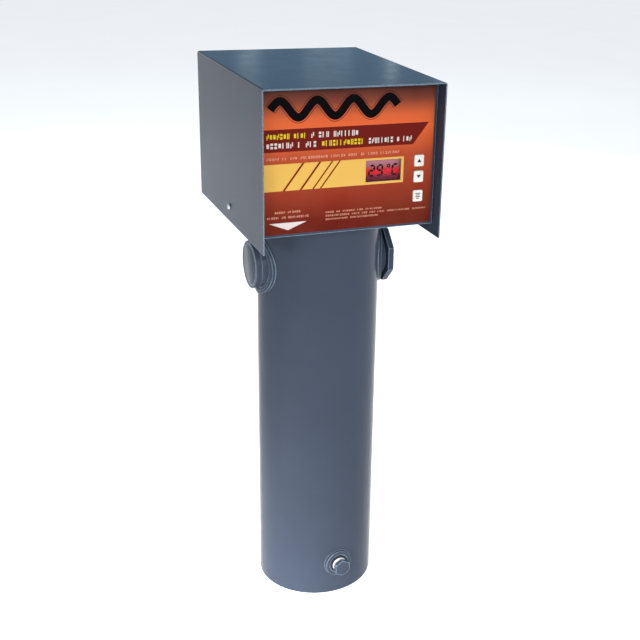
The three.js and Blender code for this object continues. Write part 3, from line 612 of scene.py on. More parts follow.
def wrapped_ring(name, profile, place, cylinder, segments=144):
    """A ring about local Z whose heights count from a cylinder lying along local X."""
    rows = []
    for radius, height in profile:
        row = []
        for i in range(segments):
            x = radius * math.cos(2 * math.pi * i / segments)
            y = radius * math.sin(2 * math.pi * i / segments)
            row.append((x * MM, y * MM, math.sqrt((cylinder + height) ** 2 - y * y) * MM))
        rows.append(row)
    return loft(name, rows, place, closed_rows=True)


def threaded_rod(name, radius, depth, pitch, low, high, place, segments=48):
    """A rod along local Z with a right-hand thread cut into it by depth."""
    steps_in_turn = 8
    steps = round((high - low) / pitch * steps_in_turn)
    rows = [[(0, 0, low * MM)]]
    for step in range(steps + 1):
        height = low + (high - low) * step / steps
        row = []
        for i in range(segments):
            phase = (height / pitch - i / segments) % 1
            r = radius - depth * abs(2 * phase - 1)
            row.append(round_axis(r, 2 * math.pi * i / segments, height))
        rows.append(row)
    rows.append([(0, 0, high * MM)])
    return loft(name, rows, place)


def flat_head(name, sides, flats, low, high, place, turn=0, trim=0.9):
    """A head with flat sides, its corners trimmed by a cone at both ends. Trim 1 reaches the flats."""
    corner = flats / 2 / math.cos(math.pi / sides)
    chamfer = (corner - flats / 2) * trim
    drop = chamfer * math.tan(math.radians(30))
    profile = [(0, low), (corner - chamfer, low), (corner, low + drop), (corner, high - drop),
               (corner - chamfer, high), (0, high)]
    head = prism(name, polygon(sides, flats, turn), low, high, place)
    return carve(head, turned(name + "_cone", profile, place), operation="INTERSECT")


def traced(node):
    """A CAD node's own shape with its flat triangles merged."""
    source = NODES[node].data
    points = [vertex.co for vertex in source.vertices]
    obj = mesh_object(node + "_shape", points, [tuple(face.vertices) for face in source.polygons])
    with editing(obj.data) as work:
        bmesh.ops.remove_doubles(work, verts=work.verts, dist=2e-6)
        bmesh.ops.dissolve_limit(work, angle_limit=math.radians(1), verts=work.verts, edges=work.edges)
        bmesh.ops.recalc_face_normals(work, faces=work.faces)
    return obj


# ---------------- tank and its side fittings


def tank():
    radius = TANK_RADIUS
    bore = radius - TANK_WALL
    bottom, top = span("tank_tube", "Z")
    chamfer = 0.5
    tube = turned("tank_shell", [
        (bore, bottom + chamfer), (bore + chamfer, bottom),
        (radius - chamfer, bottom), (radius, bottom + chamfer),
        (radius, top - chamfer), (radius - chamfer, top),
        (bore + chamfer, top), (bore, top - chamfer),
    ], segments=TANK_SEGMENTS)
    drain_room = span("drain_boss", "Z")[1] - DRAIN_HEIGHT + CLEAR
    carve(
        tube,
        rod("port_hole", PORT_STUB + CLEAR, -radius - 5, radius + 5, OUTLET),
        rod("drain_hole", drain_room, radius / 2, radius + 5, DRAIN),
    )
    dress(smooth(tube), "heater", "paint", "tank_tube")

    low, high = span("tank_base_plate", "Z")
    rim = bore - CLEAR
    profile = [(0, low), (rim - chamfer, low), (rim, low + chamfer), (rim, high), (0, high)]
    plate = turned("base_plate", profile, segments=TANK_SEGMENTS)
    dress(smooth(plate), "heater", "paint", "tank_base_plate")


def saddle(side, place):
    """A pad on the tank's side, with a raised rim round its outer edge."""
    node = side + "_saddle"
    outer = half_size(node, "Z")
    inner = PORT_STUB + CLEAR
    proud = max(abs(x) for x in span(node, "X")) - TANK_RADIUS
    edge = 0.5
    rim = 4.2
    step = 1.6
    profile = [(inner, CLEAR), (outer, CLEAR)] + arc((outer - edge, proud - edge), edge, 0, 90, 4)
    profile += arc((outer - rim, proud - edge), edge, 90, 180, 4)
    profile += [(outer - rim - edge, proud - step), (inner, proud - step)]
    pad = wrapped_ring(side + "_pad", profile, place, TANK_RADIUS)
    dress(smooth(pad), "heater", "paint", node)


def stub(side, place):
    node = side + "_stub"
    ends = [abs(x) for x in span(node, "X")]
    edge = 0.8
    profile = [(PORT_BORE, min(ends)), (PORT_STUB, min(ends))]
    profile += arc((PORT_STUB - edge, max(ends) - edge), edge, 0, 90, 4)
    profile += [(PORT_BORE + edge, max(ends)), (PORT_BORE, max(ends) - edge)]
    dress(smooth(turned(side + "_neck", profile, place)), "heater", "paint", node)


def inlet_cap():
    """A thick disc with a line round its face, on a spigot that fits the stub."""
    outer = half_size("inlet_cap", "Z")
    face = -span("inlet_cap", "X")[0]
    spigot_end = -span("inlet_cap", "X")[1]
    back = -span("inlet_stub", "X")[0] + CLEAR
    spigot = PORT_BORE - CLEAR
    edge = 0.8
    rim = 1.3
    groove = outer - 4.4
    profile = [(0, spigot_end), (spigot - edge, spigot_end), (spigot, spigot_end + edge), (spigot, back)]
    profile += arc((outer - edge, back + edge), edge, -90, 0, 3)
    profile += arc((outer - rim, face - rim), rim, 0, 90, 6)
    profile += [(groove + edge, face), (groove, face - edge / 2), (groove - edge, face), (0, face)]
    dress(smooth(turned("inlet_disc", profile, INLET)), "inlet_cap", "paint", "inlet_cap")


OUTLET_PLUG_SIDES = 8
OUTLET_PLUG_FLATS = 76


def outlet_plug():
    seal_low, seal_high = span("outlet_seal", "X")
    outer = half_size("outlet_seal", "Z")
    round_off = (seal_high - seal_low) / 2
    profile = [(PORT_BORE, seal_low)] + arc((outer - round_off, seal_low + round_off), round_off, -90, 90, 6)
    profile += [(PORT_BORE, seal_high)]
    dress(smooth(turned("outlet_washer", profile, OUTLET)), "outlet_seal", "rubber", "outlet_seal")

    spigot_end, face = span("outlet_plug", "X")
    back = seal_high + CLEAR
    flat_up = 180 / OUTLET_PLUG_SIDES
    head = flat_head("outlet_head", OUTLET_PLUG_SIDES, OUTLET_PLUG_FLATS, back, face, OUTLET, flat_up, 0.3)
    root = back + 1
    thread = threaded_rod("outlet_thread", PORT_BORE - CLEAR, *OUTLET_THREAD, spigot_end, root, OUTLET, 96)
    plug = joined("outlet_plug_body", [head, thread])
    dress(soften(plug, 0.5, 2, 25), "outlet_plug", "paint", "outlet_plug")


DRAIN_INNER = 76.0
DRAIN_PROUD = 3.5
DRAIN_SHANK = 10.5
DRAIN_FLATS = 22
DRAIN_HEAD = (94.5, 101.5)


def drain():
    boss = half_size("drain_boss", "Z")
    face = TANK_RADIUS + DRAIN_PROUD
    outer = half_size("drain_seal", "Z")
    edge = 0.7
    seat = outer + edge
    profile = [(DRAIN_BORE, DRAIN_INNER), (boss, DRAIN_INNER)]
    profile += arc((boss - edge, face - edge), edge, 0, 90, 4)
    profile += [(seat + edge, face), (seat, face - edge)]
    profile += [(DRAIN_BORE + edge, face - edge), (DRAIN_BORE, face - 2 * edge)]
    dress(smooth(turned("drain_coupling", profile, DRAIN)), "heater", "paint", "drain_boss")

    low = face + CLEAR
    half = 0.9
    ring = [(DRAIN_BORE, low)] + arc((outer - half, low + half), half, -90, 90, 6)
    ring += [(DRAIN_BORE, low + 2 * half)]
    dress(smooth(turned("drain_washer", ring, DRAIN)), "drain_seal", "rubber", "drain_seal")

    start, end = DRAIN_HEAD
    thread = threaded_rod("drain_thread", DRAIN_SHANK, *DRAIN_THREAD, DRAIN_INNER, face - edge, DRAIN)
    dress(smooth(thread, 60), "drain_plug", "zinc", "drain_plug")
    # The neck wears the tape finish, whose glow is a painted glint.
    neck = rod("drain_neck", DRAIN_SHANK, face - 2 * edge, start + edge, DRAIN)
    dress(smooth(neck), "drain_plug", "zinc", finish="tape_and_painted_glint")
    head = flat_head("drain_head", 6, DRAIN_FLATS, start, end, DRAIN)
    dress(soften(head, 0.35, 2, 25), "drain_plug", "paint")


# ---------------- hood


def hood():
    (left, right), (front, back), (skirt, top) = spans("hood")
    inside = HOOD_BEND - HOOD_SHEET
    bend_height = top - HOOD_BEND
    steps = 8
    outline = [(right - HOOD_SHEET, skirt), (right, skirt)]
    outline += arc((right - HOOD_BEND, bend_height), HOOD_BEND, 0, 90, steps)
    outline += arc((left + HOOD_BEND, bend_height), HOOD_BEND, 90, 180, steps)
    outline += [(left, skirt), (left + HOOD_SHEET, skirt)]
    outline += arc((left + HOOD_BEND, bend_height), inside, 180, 90, steps)
    outline += arc((right - HOOD_BEND, bend_height), inside, 90, 0, steps)
    shell = prism("hood_shell", outline, -back, -front, UPRIGHT)
    y, z = middles("hood_screw_left", "YZ")
    across = moved(0, y, z) @ Matrix.Rotation(math.pi / 2, 4, "Y")
    carve(shell, rod("screw_hole", SCREW_HOLE, left - 1, right + 1, across, 24))
    dress(soften(shell, 0.4, 3, 50), "hood", "paint", "hood")


def hood_screw(side, direction):
    """A pan-head screw with a cross recess, on local Z pointing out of the hood's side."""
    node = f"hood_screw_{side}"
    low, high = sorted(abs(x) for x in span(node, "X"))
    radius = half_size(node, "Z")
    y, z = middles(node, "YZ")
    face = span("hood", "X")[1] + CLEAR
    place = moved(0, y, z) @ Matrix.Rotation(direction * math.pi / 2, 4, "Y")
    dome = arc((0, 0), 1, 20, 90, 8)
    profile = [(0, face), (radius - 0.3, face), (radius, face + 0.3)]
    profile += [(radius * x, face + (high - face) * (0.3 + 0.7 * h)) for x, h in dome]
    profile[-1] = (0, high)
    head = turned(f"screw_head_{side}", profile, place, 64)
    arm, width, depth = radius * 0.55, 0.45, 1.3
    recess = (high - depth, high + 1)
    cross = [brick("slot", around(0, x), around(0, y), recess) for x, y in ((arm, width), (width, arm))]
    for tool in cross:
        tool.data.transform(place)
    carve(head, *cross)
    shank = threaded_rod(f"screw_shank_{side}", SCREW_SHANK, *SCREW_THREAD, low, face + 0.5, place, 24)
    screw = joined(f"hood_fastener_{side}", [head, shank])
    dress(smooth(screw, 40), "hood", "zinc", node)


# ---------------- label, keys and display

PRINT_ROOT = -0.1
PRINT_PROUD = 0.05
WINDOW_MARGIN = 3.0
KEY_CORNER = 1.8


def on_label(name, outline, finish, high=PRINT_PROUD):
    """One printed shape, as an outline of (x, z) in mm, standing a hair proud of the label."""
    shape = prism(name, outline, PRINT_ROOT, high, ON_LABEL)
    dress(shape, "heater", "label_film", finish=finish)


def key_outline(node, grow=0.0):
    margin = KEY_SKIRT - grow
    sides, ends = inset_span(node, "X", margin), inset_span(node, "Z", margin)
    return rounded_rectangle(*sides, *ends, KEY_CORNER + grow)


def window_outline():
    return rectangle(*inset_span("display_window", "X", WINDOW_MARGIN),
                     *inset_span("display_window", "Z", WINDOW_MARGIN))


def label():
    front, back = span("front_label", "Y")
    key_room = 0.4
    outlines = [key_outline(key, key_room) for key in KEYS] + [window_outline()]
    holes = [prism("label_hole", outline, -back - 1, -front + 1, UPRIGHT) for outline in outlines]
    film = carve(front_plate("label_sheet", "front_label"), *holes)
    dress(soften(film, 0.06, 1, 50), "heater", "label_film", "front_label")


# Each row of print: its name, where it starts and ends, its foot and head, how many marks are in each
# group, its ink, and the seed that picks its marks.
PRINT_ROWS = (
    ("ticks_upper_left", -109, -57, 697.5, 704.5, (7, 4), "yellow_ink", 3),
    ("ticks_upper_right", -52, 11, 697.5, 704.5, (1, 3, 7), "pale_ink", 4),
    ("ticks_lower_left", -109, -44, 686.3, 693.3, (7, 1, 3), "pale_ink", 5),
    ("ticks_lower_mid", -38, 19, 686.3, 693.3, (12,), "yellow_ink", 6),
    ("ticks_lower_right", 24, 84, 686.3, 693.3, (8, 1, 3), "pale_ink", 7),
    ("ticks_note", -109, 67, 671.8, 675.2, (5, 2, 3, 11, 6, 4, 2, 4, 8), "faint_ink", 8),
    ("ticks_reset", -99, -65, 604.6, 607.4, (5, 6), "faint_ink", 9),
    ("ticks_reset_low", -109, -54, 598, 600.8, (6, 2, 10), "faint_ink", 10),
    ("ticks_foot_0", -32, 45, 600.5, 602.8, (4, 2, 6, 3, 8), "faint_ink", 11),
    ("ticks_foot_1", -32, 107, 595.9, 598.2, (12, 4, 3, 3, 4, 12, 7), "faint_ink", 12),
    ("ticks_foot_2", -32, 40, 591.3, 593.6, (13, 16), "faint_ink", 13),
)

# The slanted lines are (x at the top, width).
GOLD = {"right": 73.0, "low": 633.3, "high": 667.0, "lean": 25.5,
        "lines": ((-62.0, 3.0), (-40.0, 3.0), (-23.8, 2.2), (-13.9, 2.2))}
BAND = {"low": 682.0, "high": 709.6, "right_low": 85.0, "right_high": 106.0}


def gold_band():
    left = span("front_label", "X")[0] + 0.5
    right, low, high = GOLD["right"], GOLD["low"], GOLD["high"]
    band = prism("gold_band", rectangle(left, right, low, high), PRINT_ROOT, PRINT_PROUD, ON_LABEL)
    carve(band, prism("window_gap", window_outline(), -1, 1, ON_LABEL))
    dress(band, "heater", "label_film", finish="gold_ink")
    for index, (top, width) in enumerate(GOLD["lines"]):
        foot = top - GOLD["lean"]
        half = width / 2
        line = [(foot - half, low), (foot + half, low), (top + half, high), (top - half, high)]
        on_label(f"slant_{index + 1}", line, "dark_red_ink", high=2 * PRINT_PROUD)


def maroon_band():
    left = span("front_label", "X")[0] + 0.3
    low, high = BAND["low"], BAND["high"]
    outline = [(left, low), (BAND["right_low"], low), (BAND["right_high"], high), (left, high)]
    on_label("maroon_band", outline, "maroon_ink")


# Small blocks that stand where a printed character would: (left, right, bottom, top) of each block,
# as shares of the character's cell.
MARKS = (
    ((0, 0.28, 0, 1),),
    ((0, 0.28, 0, 0.7), (0.42, 0.7, 0.3, 1)),
    ((0, 0.66, 0, 0.4), (0, 0.66, 0.6, 1)),
    ((0, 0.28, 0, 1), (0.42, 0.7, 0, 1)),
    ((0, 0.66, 0.12, 0.88),),
)


def print_ticks(name, start, end, low, high, words, finish, seed):
    """A line of small marks in groups, where a line of words would be, filling start to end."""
    pick = random.Random(seed)
    pitch = (end - start) / (sum(words) + len(words) - 1)
    tall = high - low
    parts = []
    x = start
    for count in words:
        for _ in range(count):
            for left, right, bottom, top in pick.choice(MARKS):
                across = (x + left * pitch, x + right * pitch)
                block = rectangle(*across, low + bottom * tall, low + top * tall)
                parts.append(prism(name + "_tick", block, PRINT_ROOT, 2 * PRINT_PROUD, ON_LABEL))
            x += pitch
        x += pitch
    dress(joined(name, parts), "heater", "label_film", finish=finish)


WAVE = {"left": -104.0, "right": 62.0, "middle": 733.5, "swing": 10.2, "turns": 3.5, "half": 5.1,
        "rim_inner": 6.5, "rim_outer": 7.2}


def wave_ribbon(half):
    """The outline of a ribbon that follows a wave, half wide each side of it."""
    steps = 150
    length = WAVE["right"] - WAVE["left"]
    turning = 2 * math.pi * WAVE["turns"] / length
    over, under = [], []
    for i in range(steps + 1):
        along = length * i / steps
        x = WAVE["left"] + along
        z = WAVE["middle"] + WAVE["swing"] * math.sin(turning * along)
        slope = WAVE["swing"] * turning * math.cos(turning * along)
        steep = math.hypot(1, slope)
        nx, nz = -slope / steep, 1 / steep
        over.append((x + nx * half, z + nz * half))
        under.append((x - nx * half, z - nz * half))
    return over, under


RIBBON_HEIGHTS = (PRINT_PROUD, PRINT_PROUD, PRINT_ROOT, PRINT_ROOT)


def ribbon(name, inner, outer, finish):
    """The part of the wave's ribbon from inner to outer, on both sides; inner 0 is the whole ribbon."""
    over, under = wave_ribbon(outer)
    pairs = [(over, under)]
    if inner:
        inner_over, inner_under = wave_ribbon(inner)
        pairs = [(over, inner_over), (inner_under, under)]
    parts = []
    for index, (upper, lower) in enumerate(pairs):
        rows = [[(x * MM, z * MM, height * MM) for (x, z), height in zip((a, b, b, a), RIBBON_HEIGHTS)]
                for a, b in zip(upper, lower)]
        parts.append(cap_ends(loft(f"{name}_{index}", rows, ON_LABEL)))
    dress(joined(name, parts), "heater", "label_film", finish=finish)


def cap_ends(obj):
    with editing(obj.data) as work:
        bmesh.ops.holes_fill(work, edges=[e for e in work.edges if e.is_boundary])
        bmesh.ops.recalc_face_normals(work, faces=work.faces)
    return obj


RESET_ARROW = {"top": 592.5, "half": 24.5, "high": 9.8}


def reset_arrow():
    x = middle("reset_button", "X")
    left, right = around(x, RESET_ARROW["half"])
    top = RESET_ARROW["top"]
    on_label("reset_arrow", [(left, top), (x, top - RESET_ARROW["high"]), (right, top)], "pale_ink")


# What is printed on each key, as outlines of (x, z) about its middle.
KEY_MARKS = {
    "up_key": [[(-2.95, -2.2), (2.95, -2.2), (0, 2.3)]],
    "down_key": [[(-2.95, 2.2), (0, -2.3), (2.95, 2.2)]],
    "mode_key": [rectangle(-half, half, z - 0.55, z + 0.55)
                 for half, z in ((3.6, 3.3), (2.7, 1.1), (3.2, -1.1), (2.0, -3.3))],
}


def key(node):
    front, back = span(node, "Y")
    x, z = middles(node, "XZ")
    seat = span("display_window", "Y")[0]
    flange = prism(node + "_flange", key_outline(node, KEY_SKIRT), -seat - 1, -seat, UPRIGHT)
    cap = prism(node + "_top", key_outline(node), -seat - 0.5, -front, UPRIGHT)
    place = moved(x, 0, z) @ UPRIGHT
    stem = rod(node + "_stem", 2, -back, -seat - 0.5, place, 24)
    body = joined(node + "_body", [cap, flange, stem])
    dress(soften(body, 0.45, 3, 50), node, "cream_plastic", node)
    face = moved(x, front, z) @ UPRIGHT
    marks = [prism(node + "_mark", outline, -0.2, PRINT_PROUD, face) for outline in KEY_MARKS[node]]
    dress(joined(node + "_print", marks), node, "label_film", finish="key_ink")


SEGMENTS = {"2": "abged", "9": "abcdfg", "C": "adef"}
DIGITS = (("2", 31.4), ("9", 42.6), ("C", 63.4))
DIGIT_HEIGHTS = (-0.1, 0.08)
DIGIT_DROP = 1.0
DEGREE = {"x": 54.6, "rise": 5.0, "inner": 1.0, "outer": 2.6}


def display():
    pane = front_plate("window_pane", "display_window")
    dress(soften(pane, 0.15, 2, 50), "heater", "clear_window", "display_window")
    panel = front_plate("lit_panel", "display_panel")
    dress(soften(panel, 0.3, 2, 50), "heater", "display_film", "display_panel")

    front = span("display_panel", "Y")[0]
    row = middle("display_panel", "Z") - DIGIT_DROP
    place = moved(0, front, 0) @ UPRIGHT
    parts = [bar for digit, x in DIGITS for bar in digit_segments(digit, x, row, place)]
    profile = [(DEGREE[edge], DIGIT_HEIGHTS[side])
               for edge, side in (("inner", 0), ("outer", 0), ("outer", 1), ("inner", 1))]
    centre = moved(DEGREE["x"], front, row + DEGREE["rise"]) @ UPRIGHT
    parts.append(turned("degree", profile, centre, 24))
    dress(joined("digits", parts), "heater", "display_film", finish="black_ink")


def digit_segments(digit, x, z, place):
    """The lit bars of a seven-segment digit, leaning a little."""
    w, h, thick, lean = 3.3, 6.6, 1.4, 0.08
    gap = 0.3

    def bar(x0, z0, x1, z1):
        along = Vector((x1 - x0, z1 - z0)).normalized()
        side = Vector((-along.y, along.x)) * thick
        a, b = Vector((x0, z0)) + along * gap, Vector((x1, z1)) - along * gap
        ends = [a, a + along * thick - side, b - along * thick - side, b, b - along * thick + side,
                a + along * thick + side]
        return [(x + p.x + lean * p.y, z + p.y) for p in ends]

    bars = {"a": (-w, h, w, h), "b": (w, h, w, 0), "c": (w, 0, w, -h), "d": (-w, -h, w, -h),
            "e": (-w, 0, -w, -h), "f": (-w, h, -w, 0), "g": (-w, 0, w, 0)}
    return [prism(f"digit_{digit}_{s}", bar(*bars[s]), *DIGIT_HEIGHTS, place) for s in SEGMENTS[digit]]


# ---------------- parts inside the box

# Local Z of a rearward frame points out of the board's back.
REARWARD = Matrix.Rotation(-math.pi / 2, 4, "X")


def slotted_screws(name, places, radius, high):
    """Slotted screw heads standing on (x, y, z) points in mm, each slot turned a little further."""
    heads = []
    for index, (x, y, z) in enumerate(places):
        head = rod(f"{name}_{index}", radius, z - 0.5, z + high, None, 32)
        carve(head, brick("slot", around(0, radius + 1), around(0, 0.5), (z + high / 2, z + high + 1)))
        turn = Matrix.Rotation(math.radians(37 * index), 4, "Z")
        head.data.transform(moved(x, y, 0) @ turn)
        heads.append(head)
    dress(soften(joined(name, heads), 0.2, 2, 40), "heater", "zinc")


COIL_OVERHANG = 8.0
TRANSFORMER_FOOT = {"long": 7.0, "high": 2.0}
LAMINATIONS = 12


def transformer():
    """A stack of steel sheets round a taped winding, on feet held by two screws."""
    (left, right), (front, back), (low, high) = spans("transformer")
    foot, foot_high = TRANSFORMER_FOOT["long"], TRANSFORMER_FOOT["high"]
    core = (left + foot, right - foot)
    start, end = front + COIL_OVERHANG, back - COIL_OVERHANG
    pitch = (end - start) / LAMINATIONS
    sheets = [brick("sheet", core, (start + i * pitch, start + (i + 0.8) * pitch), (low, high))
              for i in range(LAMINATIONS)]
    inset = 0.4
    heart = brick("heart", (core[0] + inset, core[1] - inset), (start + inset, end - inset),
                  (low, high - inset))
    y = middle("transformer", "Y")
    feet = brick("feet", (left, right), around(y, COIL_OVERHANG), (low, low + foot_high))
    dress(joined("transformer_core", sheets + [heart, feet]), "heater", "steel", "transformer")

    outline = rounded_rectangle(core[0] + COIL_OVERHANG, core[1] - COIL_OVERHANG,
                                low + COIL_OVERHANG, high - COIL_OVERHANG, 3.0)
    coil = prism("transformer_coil", outline, -back, -front, UPRIGHT)
    dress(soften(coil, 2.0, 4, 50), "heater", "cream_plastic", finish="winding_tape")
    places = [(x, y, low + foot_high) for x in (left + foot / 2, right - foot / 2)]
    slotted_screws("transformer_screws", places, 2.4, 1.6)


CONTACTOR_RIB = 6.0
POLE_PITCH = 16.0


def contactor_fittings():
    """Terminal screws in two rows on the contactor, with a fin between each pair."""
    x, y = middles("contactor_body", "XY")
    back, top = span("contactor_body", "Y")[1], span("contactor_body", "Z")[1] - CONTACTOR_RIB
    row = back - y - 4.6
    places = [(x + pole * POLE_PITCH, y + side * row, top) for side in (-1, 1) for pole in (-1, 0, 1)]
    slotted_screws("contactor_screws", places, 3.4, 2.0)
    fins = [brick("fin", around(x + gap * POLE_PITCH, 0.7), around(y + side * row, 4.2), (top - 0.5, top + 4))
            for side in (-1, 1) for gap in (-0.5, 0.5)]
    dress(soften(joined("contactor_fins", fins), 0.2, 2), "heater", "black_plastic")


TERMINAL_FIN = {"half": 1.5, "high": 8.0}
POLES = 3


def terminal_fittings():
    """A plate with two screws in each bay of the terminal block."""
    left, right = inset_span("terminal_block", "X", TERMINAL_FIN["half"])
    y, top = middle("terminal_block", "Y"), span("terminal_block", "Z")[1] - TERMINAL_FIN["high"]
    bays = [left + (right - left) * (pole + 0.5) / POLES for pole in range(POLES)]
    plate_top = top + 0.4
    plates = [brick("plate", around(x, 5), around(y, 12), (top - 0.5, plate_top)) for x in bays]
    dress(soften(joined("terminal_plates", plates), 0.15, 2), "heater", "zinc")
    places = [(x, y + side * 8, plate_top) for x in bays for side in (-1, 1)]
    slotted_screws("terminal_screws", places, 3, 2)


BOARD_THICK = 1.6
RELAY = {"x": (62, 82), "z": (640, 668), "high": 14.0}
CHIP = {"x": (30, 50), "z": (605, 625), "high": 3.0, "pins": 8}
CAPACITORS = ((95, 656, 5.0, 12.0), (95, 641, 4.0, 9.0), (95, 629, 4.0, 9.0))
SWITCH_HALF = 3.2
PLUG_HALF = (5.0, 4.0)


def board():
    """The board with its key switches in front, and a relay, a chip, capacitors and two plugs behind."""
    (left, right), (switch_front, relay_back), (bottom, top) = spans("display_board")
    back = relay_back - RELAY["high"]
    front = back - BOARD_THICK
    sheet = brick("board_sheet", (left, right), (front, back), (bottom, top))
    dress(soften(sheet, 0.15, 1), "heater", "board", "display_board")

    bodies = [brick("switch", around(middle(key, "X"), SWITCH_HALF), (switch_front, front + SUNK),
                    around(middle(key, "Z"), SWITCH_HALF)) for key in KEYS]
    bodies.append(brick("chip", CHIP["x"], (back + 0.5, back + CHIP["high"]), CHIP["z"]))
    dress(soften(joined("board_black_parts", bodies), 0.2, 2), "heater", "black_plastic")
    low, high = CHIP["z"]
    rows = [low + (high - low) * (pin + 0.5) / CHIP["pins"] for pin in range(CHIP["pins"])]
    chip_middle = sum(CHIP["x"]) / 2
    pins = [brick("pin", around(chip_middle, 12.5), (back - 0.2, back + 1.2), around(z, 0.5)) for z in rows]
    dress(joined("chip_pins", pins), "heater", "zinc")
    relay = brick("board_relay", RELAY["x"], (back - SUNK, relay_back), RELAY["z"])
    dress(soften(relay, 0.6, 3), "heater", "black_plastic", finish="relay_blue")

    sleeves, tops = [], []
    for x, z, radius, high in CAPACITORS:
        place = moved(x, back, z) @ REARWARD
        profile = [(0, -SUNK), (radius, -SUNK), (radius, 1.4), (radius - 0.4, 1.8), (radius, 2.2),
                   (radius, high - 0.6), (radius - 0.6, high), (0, high)]
        sleeves.append(turned("sleeve", profile, place, 40))
        tops.append(rod("can_top", radius - 1.2, high - 0.5, high + 0.1, place, 40))
    dress(smooth(joined("capacitor_sleeves", sleeves)), "heater", "black_plastic")
    dress(smooth(joined("capacitor_tops", tops)), "heater", "zinc")
    plugs = [brick("plug", around(middle_of_end(lead, "X"), PLUG_HALF[0]), (back - SUNK, back + 7),
                   around(middle_of_end(lead, "Z"), PLUG_HALF[1])) for lead in ("board_lead", "sensor_lead")]
    dress(soften(joined("board_plugs", plugs), 0.4, 2), "heater", "cream_plastic")


def middle_of_end(lead, axis):
    """The middle of a lead's front end along X or Z, in mm."""
    points = [vertex.co for vertex in NODES[lead].data.vertices]
    front = min(point.y for point in points)
    index = "XYZ".index(axis)
    end = [point[index] for point in points if point.y < front + MM]
    return (min(end) + max(end)) / 2 / MM


def limit_tabs():
    """Two flat push-on tabs on the high limit."""
    x, y = middles("high_limit_body", "XY")
    top = span("high_limit_body", "Z")[1]
    tabs = [brick("tab", around(x + side * 12, 3.1), around(y, 0.4), (top - 7, top)) for side in (-1, 1)]
    dress(soften(joined("limit_tabs", tabs), 0.3, 2), "heater", "zinc")


KNOB_GRIP = {"half": 1.5, "high": 3.0}
KNOB_FLUTES = 24
FLUTE_DEPTH = 0.6
DIAL_MARKS = 11
DIAL_START = -240
DIAL_STEP = 30


def pressure_dial():
    """A fluted knob with a pointer, over a ring of marks on the pressure switch."""
    x, y = middles("pressure_knob", "XY")
    low, high = span("pressure_knob", "Z")
    radius = half_size("pressure_knob", "X")
    half = KNOB_GRIP["half"]
    disc_top = high - KNOB_GRIP["high"]
    steps = KNOB_FLUTES * 8
    outline = []
    for i in range(steps):
        angle = 2 * math.pi * i / steps
        reach = radius - FLUTE_DEPTH / 2 * (1 - math.cos(KNOB_FLUTES * angle))
        outline.append((reach * math.cos(angle), reach * math.sin(angle)))
    place = moved(x, y, 0)
    disc = prism("knob_disc", outline, low, disc_top, place)
    grip = brick("knob_grip", around(x, half), around(y, radius - half), (disc_top - SUNK, high))
    knob = soften(joined("knob", [disc, grip]), 0.25, 2, 50)
    dress(knob, "pressure_knob", "cream_plastic", "pressure_knob")
    tip = y - radius + half + 0.6
    line = brick("knob_pointer", around(x, 0.5), (tip, y - 2), (high - SUNK, high + PRINT_PROUD))
    dress(line, "pressure_knob", "label_film", finish="dark_red_ink")

    marks = []
    face = low - CLEAR
    for index in range(DIAL_MARKS):
        mark = brick("mark", (radius + 0.6, radius + 2.4), around(0, 0.2), (face - 0.2, face + PRINT_PROUD))
        turn = Matrix.Rotation(math.radians(DIAL_START + DIAL_STEP * index), 4, "Z")
        mark.data.transform(place @ turn)
        marks.append(mark)
    dress(joined("dial_marks", marks), "heater", "label_film", finish="pale_ink")


# ---------------- everything that keeps its CAD shape


def soft_tube(node):
    """A lead: the CAD tube's section and bends smoothed by subdivision."""
    obj = traced(node)
    for face in obj.data.polygons:
        face.use_smooth = True
    subdivide = obj.modifiers.new("smooth_bends", "SUBSURF")
    subdivide.levels = 2
    subdivide.render_levels = 2
    return obj


LEADS = ("sensor_lead", "element_lead_front", "element_lead_rear", "supply_lead", "board_lead",
         "limit_capillary", "pressure_tube")


def remaining():
    """A softened copy of each CAD node that no built piece stands for."""
    slots = {row["node"]: row["material_slot"] for row in frame["record"]["subparts"]}
    for node in sorted(NODES):
        if NODES[node].hide_render:
            continue
        shape = soft_tube(node) if node in LEADS else soften(traced(node), 0.35, 2, 45)
        shape.name = node + "_form"
        dress(shape, NODES[node]["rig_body"], slots[node], node)


# ---------------- studio


def add_area(name, place, target, size, power, colour=(1, 1, 1), spread=180):
    light = bpy.data.lights.new(name, "AREA")
    light.shape = "RECTANGLE"
    light.size, light.size_y = size
    light.energy = power
    light.color = colour
    light.spread = math.radians(spread)
    obj = bpy.data.objects.new(name, light)
    obj.matrix_world = Matrix.Translation(place) @ (
        Vector(target) - Vector(place)).to_track_quat("-Z", "Y").to_matrix().to_4x4()
    bpy.context.scene.collection.objects.link(obj)


# Narrow lights behind the heater, which the hood's top reflects as soft streaks.
STRIP_DISTANCE = 4.0
STRIP_MIDDLE = 1.25
STRIP_AIM = 0.76
# Each strip's x and width in metres and its power in watts.
STRIPS = ((1.08, 0.1, 0.08), (1.5, 0.24, 0.1), (1.86, 0.05, 0.09), (2.2, 0.1, 0.16))
STRIP_COLOUR = (0.8, 0.92, 1)
SKY_COLOUR = (0.5, 0.74, 1.0, 1)
SKY_STRENGTH = 0.22


